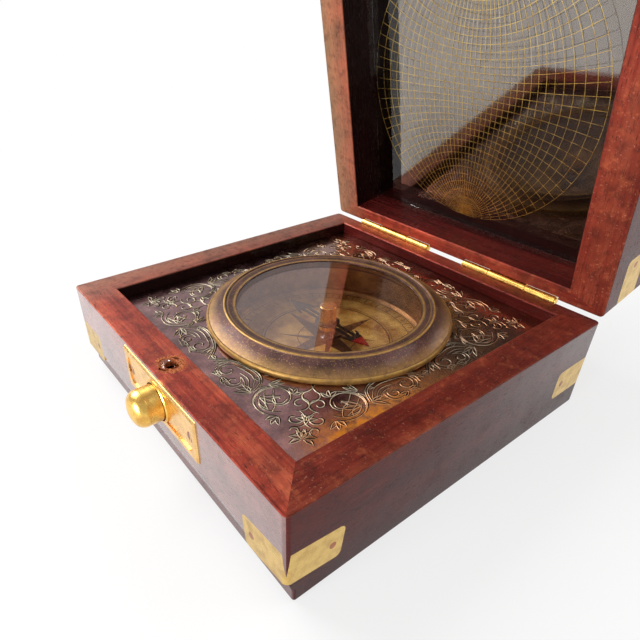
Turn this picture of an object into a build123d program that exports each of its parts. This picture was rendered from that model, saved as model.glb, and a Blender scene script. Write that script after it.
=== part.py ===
from build123d import *
from math import pi, sqrt
import os

# Compass box, four inch class, in millimetres.
# The origin is at the middle of the base's underside, +Z is up and -Y is the latch side.
# The lid is built closed and then turned open about its hinge axis.

# Box, outside
BOX_WIDTH = 100.0
BOX_DEPTH = 100.0
BASE_HEIGHT = 25.6
LID_HEIGHT = 20.0
RIM_GAP = 0.3
CORNER_ROUND = 1.2
EDGE_ROUND = 0.7
RIM_ROUND = 0.25
RIM_CHAMFER = 0.3
LID_OPEN_ANGLE = 78.85

# Boards of the base
SIDE_WALL = 9.0
FRONT_WALL = 9.0
BACK_WALL = 5.5
BOTTOM_THICKNESS = 4.0
BOTTOM_SETBACK = 1.7
WORN_EDGE_HEIGHT = 5.0
WORN_EDGE_DEPTH = 1.5

# Boards of the lid
LID_RAIL = 9.8
LID_BACK_RAIL = 4.6
LID_TOP_THICKNESS = 5.5
LID_RECESS = 9.3
MIRROR_THICKNESS = 1.0
LID_GLASS_THICKNESS = 2.2
LINING_GAP = 0.2

# Deck round the compass
DECK_DEPTH = 3.4
DECK_THICKNESS = 1.0
DECK_GAP = 0.3

# Compass
BEZEL_RADIUS = 33.0
BEZEL_LIP_RADIUS = 28.1
BEZEL_RISE = 1.0
BEZEL_BEAD = 1.6
BEZEL_COVE = 0.25
LIP_WIDTH = 0.6
LAND_DROP = 0.6
GLASS_OPENING = 24.9
GLASS_LEDGE = 1.5
GLASS_THICKNESS = 1.0
GLASS_SINK = 0.2
GLASS_RING_HEIGHT = 0.8
BOWL_RADIUS = 29.4
BOWL_WALL = 1.2
BOWL_FLANGE = 1.3
BOWL_FLANGE_THICKNESS = 0.7
BOWL_CLEARANCE = 0.3
DIAL_DEPTH = 11.7
DIAL_THICKNESS = 0.5
DIAL_GAP = 0.2
DIAL_RING_WIDTH = 2.4
DIAL_RING_HEIGHT = 0.8

# Needle and pivot
CAP_RADIUS = 2.3
CAP_TOP_DEPTH = 1.3
CAP_HEIGHT = 7.2
CAP_EDGE = 0.2
CAP_BORE_RADIUS = 1.5
CAP_ROOF = 2.4
JEWEL_HEIGHT = 1.0
JEWEL_CUP = 0.5
PIVOT_RADIUS = 0.7
PIVOT_FOOT_RADIUS = 1.8
PIVOT_FOOT_HEIGHT = 0.8
PIVOT_POINT = 1.6
PIVOT_PLAY = 0.1
NEEDLE_HALF_LENGTH = 16.0
NEEDLE_THICKNESS = 0.35
NEEDLE_DISC_RADIUS = 3.4
NEEDLE_BAR_WIDTH = 0.8
NEEDLE_BAR_GAP = 0.8
NEEDLE_HEAD_LENGTH = 4.6
NEEDLE_HEAD_WIDTH = 4.4
NEEDLE_WING_RADIUS = 2.6
NEEDLE_COLLAR_HEIGHT = 1.9
NEEDLE_ANGLE = 2.0

# Latch plate and push button
LATCH_X = 2.5
LATCH_DROP = 7.2
LATCH_LENGTH = 35.0
LATCH_HEIGHT = 11.5
LATCH_THICKNESS = 1.1
LATCH_PROUD = 0.5
LATCH_BEVEL = 0.4
LATCH_BORDER = 1.3
LATCH_FIELD_DEPTH = 0.3
LATCH_FIELD_ROUND = 2.0
LATCH_SCREW_SPACING = 29.6
BUTTON_RADIUS = 4.45
BUTTON_REACH = 6.85
BUTTON_SIDE = 3.5
BUTTON_NOSE_RADIUS = 2.7
BUTTON_NOSE_RISE = 0.5
BUTTON_BULGE = 0.6
BUTTON_TRAVEL = 1.4
BUTTON_GAP = 0.3
BUSHING_WALL = 0.5
BUSHING_PROUD = 0.4
FLANGE_LENGTH = 13.0
FLANGE_HEIGHT = 9.6
FLANGE_THICKNESS = 1.0
FLANGE_PLAY = 0.1
POCKET_GAP = 0.3
CATCH_THICKNESS = 1.2
CATCH_RISE = 2.6
CATCH_ARM = 1.3
CATCH_BITE = 0.5
CATCH_GAP = 0.3

# Strike pin of the lid
STRIKE_X = 0.2
STRIKE_RADIUS = 1.3
STRIKE_NOTCH = 0.8
STRIKE_LENGTH = 8.0
STRIKE_NOSE = 0.9
STRIKE_PLATE_LENGTH = 15.0
STRIKE_PLATE_WIDTH = 5.6
STRIKE_PLATE_THICKNESS = 0.8
STRIKE_PLATE_ROUND = 1.9
STRIKE_SCREW_SPACING = 10.0
STRIKE_HOLE_RADIUS = 2.2
STRIKE_HOLE_OFFSET = 0.6
CHIP_RADIUS = 1.2
CHIP_DEPTH = 0.5
CHIP_REACH = 1.9
CHIP_ANGLES = (100.0, 20.0, -50.0)

# Latch springs
SPRING_WIRE = 0.25
SPRING_RADIUS = 1.4
SPRING_TURNS = 4.5
SPRING_SPREAD = 9.0
SPRING_DROP = 2.8
SPRING_SEAT_GAP = 0.05

# Corner straps
STRAP_LENGTH = 13.0
STRAP_HEIGHT = 8.4
STRAP_THICKNESS = 0.8
STRAP_ROUND = 1.4
STRAP_SLIVER = 0.6
STRAP_CENTRE = 10.9
LID_STRAP_DROP = 9.75
STRAP_TILT = 7.0
STRAP_NAIL_INSET = 2.6

# Hinges
HINGE_INSET = 27.8
HINGE_LENGTH = 30.0
HINGE_OFFSET = 0.6
BARREL_RADIUS = 1.25
HINGE_PIN_RADIUS = 0.6
HINGE_PIN_PLAY = 0.05
HINGE_PIN_HEAD = 0.3
KNUCKLE_LENGTH = 12.0
KNUCKLE_GAP = 0.3
LEAF_THICKNESS = 0.6
LEAF_WIDTH = 6.0
LEAF_NAIL_SPACING = 10.0
LEAF_NAIL_HEIGHT = 3.8

# Nails and screws
NAIL_RADIUS = 0.45
NAIL_HEAD_RADIUS = 0.85
NAIL_HEAD_HEIGHT = 0.4
NAIL_LENGTH = 4.0
SCREW_RADIUS = 0.7
SCREW_HEAD_RADIUS = 1.35
SCREW_HEAD_HEIGHT = 0.6
SCREW_LENGTH = 5.0
SCREW_SLOT = 0.35

# Places worked out from the sizes
HALF_WIDTH = BOX_WIDTH / 2
HALF_DEPTH = BOX_DEPTH / 2
FRONT_FACE = -HALF_DEPTH
INNER_FRONT = FRONT_FACE + FRONT_WALL
INNER_BACK = HALF_DEPTH - BACK_WALL
INNER_WIDTH = BOX_WIDTH - 2 * SIDE_WALL
COMPASS_Y = (INNER_FRONT + INNER_BACK) / 2
DECK_TOP = BASE_HEIGHT - DECK_DEPTH
DECK_UNDERSIDE = DECK_TOP - DECK_THICKNESS
LID_RIM = BASE_HEIGHT + RIM_GAP
LID_TOP = LID_RIM + LID_HEIGHT
LID_PANEL = LID_TOP - LID_TOP_THICKNESS
HINGE_Y = HALF_DEPTH + HINGE_OFFSET
HINGE_Z = BASE_HEIGHT + RIM_GAP / 2
HINGE_CENTRES = (HINGE_INSET - HALF_WIDTH, HALF_WIDTH - HINGE_INSET)
LATCH_Z = BASE_HEIGHT - LATCH_DROP
LATCH_BACK = FRONT_FACE - LATCH_PROUD + LATCH_THICKNESS
LATCH_FRONT = FRONT_FACE - LATCH_PROUD
FLANGE_FRONT = LATCH_BACK + FLANGE_PLAY
FLANGE_BACK = FLANGE_FRONT + FLANGE_THICKNESS
STRIKE_Y = FLANGE_BACK + BUTTON_TRAVEL + CATCH_GAP + STRIKE_RADIUS
CATCH_EDGE = STRIKE_Y + STRIKE_RADIUS - CATCH_BITE
CATCH_BACK = CATCH_EDGE + FLANGE_THICKNESS
POCKET_BACK = CATCH_BACK + BUTTON_TRAVEL + CATCH_GAP
CATCH_Z = LATCH_Z + CATCH_RISE
SPRING_Z = LATCH_Z - SPRING_DROP

OPEN_LID = Pos(0, HINGE_Y, HINGE_Z) * Rot(-LID_OPEN_ANGLE, 0, 0) * Pos(0, -HINGE_Y, -HINGE_Z)


def block(low, high):
    """Block between two opposite corners."""
    size = [far - near for near, far in zip(low, high)]
    middle = [(far + near) / 2 for near, far in zip(low, high)]
    return Pos(*middle) * Box(*size)


def turned(*outline):
    """Turned piece about +Z from a closed outline of (radius, height) points."""
    section = make_face(Polyline(*[(radius, 0, height) for radius, height in outline], close=True))
    return revolve(section, Axis.Z, 360)


def disc(radius, low, high):
    """Disc or pin about +Z between two heights."""
    return Pos(0, 0, (low + high) / 2) * Cylinder(radius, high - low)


def facing_front(x, y, z):
    """Place that turns a piece's +Z towards the front of the box."""
    return Pos(x, y, z) * Rot(90, 0, 0)


def along_x(x, y, z):
    """Place that turns a piece's +Z along +X."""
    return Pos(x, y, z) * Rot(0, 90, 0)


def prism(points, low, high):
    """Upright prism over a plan outline."""
    outline = make_face(Polyline(*[(x, y, low) for x, y in points], close=True))
    return extrude(outline, high - low, dir=(0, 0, 1))


def rounded_block(low, high, rim_up):
    """Outer form of the base or lid, its edges eased, those of the sawn rim only a little."""
    form = block((-HALF_WIDTH, -HALF_DEPTH, low), (HALF_WIDTH, HALF_DEPTH, high))
    form = fillet(form.edges().filter_by(Axis.Z), CORNER_ROUND)
    rounds = (EDGE_ROUND, RIM_ROUND) if rim_up else (RIM_ROUND, EDGE_ROUND)
    for end, size in zip((0, -1), rounds):
        form = fillet(form.faces().filter_by(Axis.Z).sort_by(Axis.Z)[end].edges(), size)
    return form


def rim_corners(side, front, back):
    """Outer and inner rim corners in plan: front left, front right, back right, back left."""
    inner_x = HALF_WIDTH - side
    inner_front = front - HALF_DEPTH
    inner_back = HALF_DEPTH - back
    outer = [(-HALF_WIDTH, -HALF_DEPTH), (HALF_WIDTH, -HALF_DEPTH)]
    outer += [(HALF_WIDTH, HALF_DEPTH), (-HALF_WIDTH, HALF_DEPTH)]
    inner = [(-inner_x, inner_front), (inner_x, inner_front)]
    inner += [(inner_x, inner_back), (-inner_x, inner_back)]
    return outer, inner


def mitred_wall(form, corners, start, low, high):
    """One of four mitred boards, cut from the outer form between two corners."""
    outer, inner = corners
    end = (start + 1) % len(outer)
    plan = [outer[start], outer[end], inner[end], inner[start]]
    return form & prism(plan, low, high)


def eased_mouth(side, front, back, rim, up):
    """Chamfer cutter for the inner edge of a rim, opening upwards or downwards."""
    width = BOX_WIDTH - 2 * side
    depth = BOX_DEPTH - front - back
    outline = Pos(0, (front - back) / 2) * Rectangle(width, depth)
    direction = 1 if up else -1
    sunk = Plane.XY.offset(rim - direction * RIM_CHAMFER) * outline
    return extrude(sunk, RIM_CHAMFER, dir=(0, 0, direction), taper=-45)


def nail(length=NAIL_LENGTH):
    """Flat-headed nail with its head's top at the origin, pointing down."""
    return turned(
        (0, 0),
        (NAIL_HEAD_RADIUS, 0),
        (NAIL_RADIUS, -NAIL_HEAD_HEIGHT),
        (NAIL_RADIUS, NAIL_RADIUS - length),
        (0, -length),
    )


def screw(length=SCREW_LENGTH):
    """Countersunk screw with a slot, its head's top at the origin, pointing down."""
    body = turned(
        (0, 0),
        (SCREW_HEAD_RADIUS, 0),
        (SCREW_RADIUS, -SCREW_HEAD_HEIGHT),
        (SCREW_RADIUS, SCREW_RADIUS - length),
        (0, -length),
    )
    slot_depth = SCREW_HEAD_HEIGHT / 2
    slot = block(
        (-SCREW_SLOT / 2, -SCREW_HEAD_RADIUS, -slot_depth),
        (SCREW_SLOT / 2, SCREW_HEAD_RADIUS, 0),
    )
    return body - slot


def strap_corners():
    """Name, place in plan and tilt of each strapped corner."""
    return [
        ("front_left", -1, -1, 0),
        ("front_right", 1, -1, STRAP_TILT),
        ("back_right", 1, 1, 0),
        ("back_left", -1, 1, 0),
    ]


def strap_planes(side_x, side_y, height):
    """Outward planes of the two faces that meet at a corner, +X away from the corner."""
    corner = (side_x * HALF_WIDTH, side_y * HALF_DEPTH, height)
    across = Plane(origin=corner, x_dir=(-side_x, 0, 0), z_dir=(0, side_y, 0))
    along = Plane(origin=corner, x_dir=(0, -side_y, 0), z_dir=(side_x, 0, 0))
    return [across, along]


def strap_turn(plane, tilt):
    """Turn in a face's plane that raises the end of a strap at the corner."""
    return plane * Rot(0, 0, -tilt * plane.y_dir.Z)


def strap_wings(side_x, side_y, height, tilt):
    """Two flush brass wings, one on each face of a corner."""
    outline = Rectangle(STRAP_LENGTH, STRAP_HEIGHT, align=(Align.MIN, Align.CENTER))
    outline = Pos(STRAP_SLIVER, 0) * fillet(outline.vertices().group_by(Axis.X)[-1], STRAP_ROUND)
    return [
        extrude(strap_turn(plane, tilt) * outline, -STRAP_THICKNESS)
        for plane in strap_planes(side_x, side_y, height)
    ]


def strap_nail_places(side_x, side_y, height, tilt):
    """Places of the two nails of a corner, heads outwards."""
    reach = STRAP_SLIVER + STRAP_LENGTH - STRAP_NAIL_INSET
    return [
        strap_turn(plane, tilt) * Pos(reach, 0, 0)
        for plane in strap_planes(side_x, side_y, height)
    ]


def hinge_nail_places(up):
    """Places of the nails of both leaves on the base or, with up, on the lid."""
    height = HINGE_Z + (LEAF_NAIL_HEIGHT if up else -LEAF_NAIL_HEIGHT)
    face = HINGE_Y - BARREL_RADIUS + LEAF_THICKNESS
    return [
        Pos(centre + step * LEAF_NAIL_SPACING, face, height) * Rot(-90, 0, 0)
        for centre in HINGE_CENTRES
        for step in (-1, 0, 1)
    ]


def hinge_rod(centre, radius, length):
    """Round bar on the hinge axis."""
    return along_x(centre, HINGE_Y, HINGE_Z) * Cylinder(radius, length)


def leaf_plate(centre, up):
    """Flat part of a hinge leaf, let into the back face of the box."""
    back = HINGE_Y - BARREL_RADIUS
    low = HINGE_Z if up else HINGE_Z - LEAF_WIDTH
    half = HINGE_LENGTH / 2
    return block(
        (centre - half, back, low),
        (centre + half, back + LEAF_THICKNESS, low + LEAF_WIDTH),
    )


def hinge_gain(centre, up):
    """Cut in the wood for a leaf and for the hinge barrel."""
    room = HINGE_LENGTH + 2 * (HINGE_PIN_HEAD + KNUCKLE_GAP)
    plate = leaf_plate(centre, up)
    opening = Pos(0, LEAF_THICKNESS, 0) * plate
    return plate + opening + hinge_rod(centre, BARREL_RADIUS + KNUCKLE_GAP, room)


def hinge_leaf(centre, up):
    """Hinge leaf: the base has the two outer knuckles and the lid the middle one."""
    side_length = (HINGE_LENGTH - KNUCKLE_LENGTH) / 2 - KNUCKLE_GAP
    side_offset = (HINGE_LENGTH - side_length) / 2
    middle = [(centre, KNUCKLE_LENGTH)]
    sides = [(centre - side_offset, side_length), (centre + side_offset, side_length)]
    own, other = (middle, sides) if up else (sides, middle)
    leaf = leaf_plate(centre, up)
    for place, length in other:
        room = length + 2 * KNUCKLE_GAP
        leaf -= hinge_rod(place, BARREL_RADIUS + KNUCKLE_GAP, room)
    for place, length in own:
        leaf += hinge_rod(place, BARREL_RADIUS, length)
    leaf -= hinge_rod(centre, HINGE_PIN_RADIUS + HINGE_PIN_PLAY, HINGE_LENGTH)
    places = [place for place in hinge_nail_places(up) if abs(place.position.X - centre) < HINGE_LENGTH / 2]
    for place in places:
        leaf -= place * nail()
    return leaf


def hinge_pin(centre):
    """Hinge pin with a small head at each end."""
    half = HINGE_LENGTH / 2
    head_radius = (HINGE_PIN_RADIUS + BARREL_RADIUS) / 2
    outline = [
        (0, -half - HINGE_PIN_HEAD),
        (head_radius, -half - HINGE_PIN_HEAD),
        (head_radius, -half),
        (HINGE_PIN_RADIUS, -half),
        (HINGE_PIN_RADIUS, half),
        (head_radius, half),
        (head_radius, half + HINGE_PIN_HEAD),
        (0, half + HINGE_PIN_HEAD),
    ]
    return along_x(centre, HINGE_Y, HINGE_Z) * turned(*outline)


def latch_plate_blank():
    """Latch plate before its field and holes are cut."""
    half = LATCH_LENGTH / 2
    return block(
        (LATCH_X - half, LATCH_FRONT, LATCH_Z - LATCH_HEIGHT / 2),
        (LATCH_X + half, LATCH_BACK, LATCH_Z + LATCH_HEIGHT / 2),
    )


def latch_screw_places():
    """Places of the two screws of the latch plate."""
    face = LATCH_FRONT + LATCH_FIELD_DEPTH
    return [
        facing_front(LATCH_X + side * LATCH_SCREW_SPACING / 2, face, LATCH_Z) for side in (-1, 1)
    ]


def latch_pocket():
    """Pocket behind the latch plate for the flange, the catch and the springs."""
    half = FLANGE_LENGTH / 2 + POCKET_GAP
    low = LATCH_Z - FLANGE_HEIGHT / 2 - POCKET_GAP
    high = LATCH_Z + FLANGE_HEIGHT / 2 + POCKET_GAP
    return block((LATCH_X - half, LATCH_BACK, low), (LATCH_X + half, POCKET_BACK, high))


def strike_hole():
    """Worn hole in the front rim for the strike pin, with chips torn out beside it."""
    place = Pos(STRIKE_X, STRIKE_Y - STRIKE_HOLE_OFFSET, 0)
    hole = place * disc(STRIKE_HOLE_RADIUS, LATCH_Z, BASE_HEIGHT)
    chip = disc(CHIP_RADIUS, BASE_HEIGHT - CHIP_DEPTH, BASE_HEIGHT)
    for angle in CHIP_ANGLES:
        hole += place * Rot(0, 0, angle) * Pos(CHIP_REACH, 0, 0) * chip
    return hole


def base_walls():
    """Four mitred walls of the base, by name."""
    form = rounded_block(0, BASE_HEIGHT, True)
    worn = Polyline(
        (0, FRONT_FACE, BOTTOM_THICKNESS + WORN_EDGE_HEIGHT),
        (0, FRONT_FACE + WORN_EDGE_DEPTH, BOTTOM_THICKNESS),
        (0, FRONT_FACE, BOTTOM_THICKNESS),
        close=True,
    )
    form -= extrude(make_face(worn), HALF_WIDTH, both=True)
    form -= eased_mouth(SIDE_WALL, FRONT_WALL, BACK_WALL, BASE_HEIGHT, True)
    for name, side_x, side_y, tilt in strap_corners():
        for wing in strap_wings(side_x, side_y, STRAP_CENTRE, tilt):
            form -= wing
        for place in strap_nail_places(side_x, side_y, STRAP_CENTRE, tilt):
            form -= place * nail()
    corners = rim_corners(SIDE_WALL, FRONT_WALL, BACK_WALL)
    names = ("front", "right", "back", "left")
    walls = {
        name: mitred_wall(form, corners, start, BOTTOM_THICKNESS, BASE_HEIGHT)
        for start, name in enumerate(names)
    }
    walls["front"] -= latch_plate_blank() + latch_pocket() + strike_hole()
    for place in latch_screw_places():
        walls["front"] -= place * screw()
    for centre in HINGE_CENTRES:
        walls["back"] -= hinge_gain(centre, False)
    for place in hinge_nail_places(False):
        walls["back"] -= place * nail()
    return walls


def base_bottom_panel():
    """Bottom board, flush at the sides and set back at the front."""
    form = rounded_block(0, BASE_HEIGHT, True)
    low = (-HALF_WIDTH, FRONT_FACE + BOTTOM_SETBACK, 0)
    panel = form & block(low, (HALF_WIDTH, HALF_DEPTH, BOTTOM_THICKNESS))
    front_edge = panel.edges().filter_by(Axis.X).group_by(Axis.Y)[0].sort_by(Axis.Z)[0]
    return fillet(front_edge, EDGE_ROUND)


def filler_block():
    """Wooden block that fills the base and carries the deck, bored for the bowl."""
    filler = block(
        (-INNER_WIDTH / 2 + LINING_GAP, INNER_FRONT + LINING_GAP, BOTTOM_THICKNESS),
        (INNER_WIDTH / 2 - LINING_GAP, INNER_BACK - LINING_GAP, DECK_UNDERSIDE),
    )
    floor = BASE_HEIGHT - DIAL_DEPTH - DIAL_THICKNESS - BOWL_WALL - BOWL_CLEARANCE
    bore = disc(BOWL_RADIUS + BOWL_WALL + BOWL_CLEARANCE, floor, DECK_UNDERSIDE)
    return filler - Pos(0, COMPASS_Y, 0) * bore


def deck_plate():
    """Square brass plate round the compass."""
    plate = block(
        (-INNER_WIDTH / 2 + DECK_GAP, INNER_FRONT + DECK_GAP, DECK_UNDERSIDE),
        (INNER_WIDTH / 2 - DECK_GAP, INNER_BACK - DECK_GAP, DECK_TOP),
    )
    hole = disc(BOWL_RADIUS + BOWL_WALL + BOWL_CLEARANCE, DECK_UNDERSIDE, DECK_TOP)
    return plate - Pos(0, COMPASS_Y, 0) * hole


def compass_bowl():
    """Spun brass bowl that hangs by its flange on the deck plate."""
    floor = BASE_HEIGHT - DIAL_DEPTH - DIAL_THICKNESS
    outer = BOWL_RADIUS + BOWL_WALL
    flange_top = DECK_TOP + BOWL_FLANGE_THICKNESS
    return turned(
        (0, floor - BOWL_WALL),
        (outer - BOWL_WALL, floor - BOWL_WALL),
        (outer, floor),
        (outer, DECK_TOP),
        (outer + BOWL_FLANGE, DECK_TOP),
        (outer + BOWL_FLANGE, flange_top),
        (BOWL_RADIUS, flange_top),
        (BOWL_RADIUS, floor),
        (0, floor),
    )


def dial_plate():
    """Round dial on the floor of the bowl."""
    top = BASE_HEIGHT - DIAL_DEPTH
    return disc(BOWL_RADIUS - DIAL_GAP, top - DIAL_THICKNESS, top)


def dial_ring():
    """Raised degree ring on the edge of the dial."""
    low = BASE_HEIGHT - DIAL_DEPTH
    outer = BOWL_RADIUS - DIAL_GAP
    inner = outer - DIAL_RING_WIDTH
    return turned(
        (inner, low),
        (outer, low),
        (outer, low + DIAL_RING_HEIGHT),
        (inner + DIAL_RING_HEIGHT, low + DIAL_RING_HEIGHT),
    )


def cap_heights():
    """Bottom and top of the needle's cap, and the top of the pivot's point."""
    top = BASE_HEIGHT - CAP_TOP_DEPTH
    jewel_low = top - CAP_ROOF - JEWEL_HEIGHT
    point = jewel_low + JEWEL_CUP - PIVOT_PLAY
    return top - CAP_HEIGHT, top, jewel_low, point


def pivot_post():
    """Steel pivot with a foot on the dial and a point under the jewel."""
    low = BASE_HEIGHT - DIAL_DEPTH
    point = cap_heights()[3]
    return turned(
        (0, low),
        (PIVOT_FOOT_RADIUS, low),
        (PIVOT_FOOT_RADIUS, low + PIVOT_FOOT_HEIGHT / 2),
        (PIVOT_RADIUS, low + PIVOT_FOOT_HEIGHT),
        (PIVOT_RADIUS, point - PIVOT_POINT),
        (0, point),
    )


def needle_cap():
    """Turned brass cap of the needle, bored from below for the pivot."""
    low, top, jewel_low, point = cap_heights()
    return turned(
        (CAP_BORE_RADIUS, low),
        (CAP_RADIUS, low),
        (CAP_RADIUS, top - CAP_EDGE),
        (CAP_RADIUS - CAP_EDGE, top),
        (0, top),
        (0, jewel_low + JEWEL_HEIGHT),
        (CAP_BORE_RADIUS, jewel_low + JEWEL_HEIGHT),
    )


def needle_jewel():
    """Cupped bearing jewel pressed into the needle's cap."""
    low = cap_heights()[2]
    return turned(
        (0, low + JEWEL_CUP),
        (JEWEL_CUP, low),
        (CAP_BORE_RADIUS, low),
        (CAP_BORE_RADIUS, low + JEWEL_HEIGHT),
        (0, low + JEWEL_HEIGHT),
    )


def needle_arm(side):
    """Half of the pierced needle in plan: two bars, a pair of wings and a pointed head."""
    reach = NEEDLE_HALF_LENGTH - NEEDLE_HEAD_LENGTH
    offset = (NEEDLE_BAR_WIDTH + NEEDLE_BAR_GAP) / 2
    bar = Rectangle(reach, NEEDLE_BAR_WIDTH, align=(Align.MIN, Align.CENTER))
    arm = Pos(0, offset) * bar + Pos(0, -offset) * bar
    wing_centre = reach - NEEDLE_WING_RADIUS
    wings = Pos(wing_centre, 0) * Circle(NEEDLE_WING_RADIUS)
    wings -= Pos(wing_centre - NEEDLE_WING_RADIUS / 2, 0) * Circle(NEEDLE_WING_RADIUS)
    head = make_face(
        Polyline(
            (reach - NEEDLE_BAR_WIDTH, -NEEDLE_HEAD_WIDTH / 2),
            (NEEDLE_HALF_LENGTH, 0),
            (reach - NEEDLE_BAR_WIDTH, NEEDLE_HEAD_WIDTH / 2),
            (reach, 0),
            close=True,
        )
    )
    neck = Pos(reach - NEEDLE_BAR_WIDTH, 0) * Rectangle(2 * NEEDLE_BAR_WIDTH, 2 * NEEDLE_BAR_GAP)
    whole = arm + wings + head + neck
    return Rot(0, 0, 0 if side > 0 else 180) * whole


def needle_blade():
    """Pierced steel needle with a disc at its middle, held by the cap's shoulder."""
    low = cap_heights()[0] + NEEDLE_COLLAR_HEIGHT
    plan = Circle(NEEDLE_DISC_RADIUS) + needle_arm(1) + needle_arm(-1)
    plan -= Circle(CAP_RADIUS)
    return Rot(0, 0, NEEDLE_ANGLE) * extrude(Plane.XY.offset(low) * plan, NEEDLE_THICKNESS)


def bezel_ring():
    """Cast bezel: beaded foot, hollow cone, thin raised lip and a land round the glass."""
    lip_top = BASE_HEIGHT + BEZEL_RISE
    land_edge = lip_top - LAND_DROP
    glass_top = glass_height()
    bead_top = DECK_TOP + BEZEL_BEAD
    bead_round = BEZEL_BEAD / 2
    foot = BEZEL_RADIUS - bead_round / 2
    cone_foot = foot - bead_round / 2
    lip_outer = BEZEL_LIP_RADIUS + LIP_WIDTH / 2
    lip_inner = BEZEL_LIP_RADIUS - LIP_WIDTH
    seat = GLASS_OPENING + GLASS_LEDGE
    flange_room = BOWL_RADIUS + BOWL_WALL + BOWL_FLANGE + DECK_GAP
    flange_top = DECK_TOP + BOWL_FLANGE_THICKNESS
    cove_middle = ((cone_foot + lip_outer) / 2 - BEZEL_COVE, 0, (bead_top + lip_top) / 2 - BEZEL_COVE)
    outline = [
        ThreePointArc(
            (foot, 0, DECK_TOP), (BEZEL_RADIUS, 0, DECK_TOP + bead_round), (foot, 0, bead_top)
        ),
        Line((foot, 0, bead_top), (cone_foot, 0, bead_top)),
        ThreePointArc((cone_foot, 0, bead_top), cove_middle, (lip_outer, 0, lip_top - LIP_WIDTH / 2)),
        ThreePointArc(
            (lip_outer, 0, lip_top - LIP_WIDTH / 2),
            (BEZEL_LIP_RADIUS - LIP_WIDTH / 4, 0, lip_top),
            (lip_inner, 0, lip_top - LIP_WIDTH / 2),
        ),
        Polyline(
            (lip_inner, 0, lip_top - LIP_WIDTH / 2),
            (GLASS_OPENING, 0, land_edge),
            (GLASS_OPENING, 0, glass_top),
            (seat, 0, glass_top),
            (seat, 0, flange_top),
            (flange_room, 0, flange_top),
            (flange_room, 0, DECK_TOP),
            (foot, 0, DECK_TOP),
        ),
    ]
    return revolve(make_face(outline), Axis.Z, 360)


def glass_height():
    """Top of the compass glass, under the bezel's land."""
    return BASE_HEIGHT + BEZEL_RISE - LAND_DROP - GLASS_SINK


def compass_glass():
    """Flat glass of the compass, in its rebate under the bezel."""
    top = glass_height()
    return disc(GLASS_OPENING + GLASS_LEDGE - DIAL_GAP, top - GLASS_THICKNESS, top)


def glass_retaining_ring():
    """Sprung ring that holds the glass up in the bezel."""
    top = glass_height() - GLASS_THICKNESS
    outer = GLASS_OPENING + GLASS_LEDGE
    return turned(
        (GLASS_OPENING, top),
        (GLASS_OPENING + GLASS_RING_HEIGHT / 2, top - GLASS_RING_HEIGHT),
        (outer, top - GLASS_RING_HEIGHT),
        (outer, top),
    )


def latch_plate():
    """Brass latch plate with a raised bevelled border, bored for the bushing."""
    plate = latch_plate_blank()
    plate = chamfer(plate.faces().sort_by(Axis.Y)[0].edges(), LATCH_BEVEL)
    inset = 2 * (LATCH_BORDER + LATCH_BEVEL)
    field = RectangleRounded(LATCH_LENGTH - inset, LATCH_HEIGHT - inset, LATCH_FIELD_ROUND)
    face = facing_front(LATCH_X, LATCH_FRONT + LATCH_FIELD_DEPTH, LATCH_Z)
    plate -= extrude(face * field, LATCH_FIELD_DEPTH)
    bore_radius = BUTTON_RADIUS + BUTTON_GAP + BUSHING_WALL
    plate -= facing_front(LATCH_X, 0, LATCH_Z) * disc(bore_radius, -LATCH_BACK, -LATCH_FRONT)
    for place in latch_screw_places():
        plate -= place * screw()
        plate -= place * disc(SCREW_HEAD_RADIUS, 0, LATCH_FIELD_DEPTH)
    return plate


def button_bushing():
    """Turned bushing in the latch plate that guides the button."""
    inner = BUTTON_RADIUS + BUTTON_GAP
    outer = inner + BUSHING_WALL
    low = -LATCH_BACK
    high = -LATCH_FRONT + BUSHING_PROUD
    ease = BUSHING_WALL / 2
    outline = [(inner, low), (outer, low), (outer, high - ease), (outer - ease, high), (inner, high)]
    return facing_front(LATCH_X, 0, LATCH_Z) * turned(*outline)


def latch_button():
    """Domed push button with a wide flange behind the plate."""
    base_reach = -FLANGE_FRONT
    shoulder = Vector(BUTTON_RADIUS, 0, -LATCH_FRONT + BUTTON_SIDE)
    tip = Vector(0, 0, -LATCH_FRONT + BUTTON_REACH)
    nose = Vector(BUTTON_NOSE_RADIUS, 0, tip.Z - BUTTON_NOSE_RISE)
    slope = nose - shoulder
    bulge = Vector(slope.Z, 0, -slope.X).normalized() * BUTTON_BULGE
    crown_radius = (BUTTON_NOSE_RADIUS ** 2 + BUTTON_NOSE_RISE ** 2) / (2 * BUTTON_NOSE_RISE)
    crown_drop = crown_radius - sqrt(crown_radius ** 2 - (BUTTON_NOSE_RADIUS / 2) ** 2)
    crown = Vector(BUTTON_NOSE_RADIUS / 2, 0, tip.Z - crown_drop)
    outline = [
        Polyline(tip, (0, 0, base_reach), (BUTTON_RADIUS, 0, base_reach), shoulder),
        ThreePointArc(shoulder, (shoulder + nose) * 0.5 + bulge, nose),
        ThreePointArc(nose, crown, tip),
    ]
    stem = facing_front(LATCH_X, 0, LATCH_Z) * revolve(make_face(outline), Axis.Z, 360)
    flange = block(
        (LATCH_X - FLANGE_LENGTH / 2, FLANGE_FRONT, LATCH_Z - FLANGE_HEIGHT / 2),
        (LATCH_X + FLANGE_LENGTH / 2, FLANGE_BACK, LATCH_Z + FLANGE_HEIGHT / 2),
    )
    return stem + flange


def latch_catch():
    """Yoke on the button's flange whose rear bar bites the notch of the strike pin."""
    window = STRIKE_RADIUS + CATCH_GAP
    outer = window + CATCH_ARM
    low = CATCH_Z - CATCH_THICKNESS / 2
    high = CATCH_Z + CATCH_THICKNESS / 2
    yoke = block((STRIKE_X - outer, FLANGE_BACK, low), (STRIKE_X + outer, CATCH_BACK, high))
    return yoke - block((STRIKE_X - window, FLANGE_BACK, low), (STRIKE_X + window, CATCH_EDGE, high))


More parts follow.
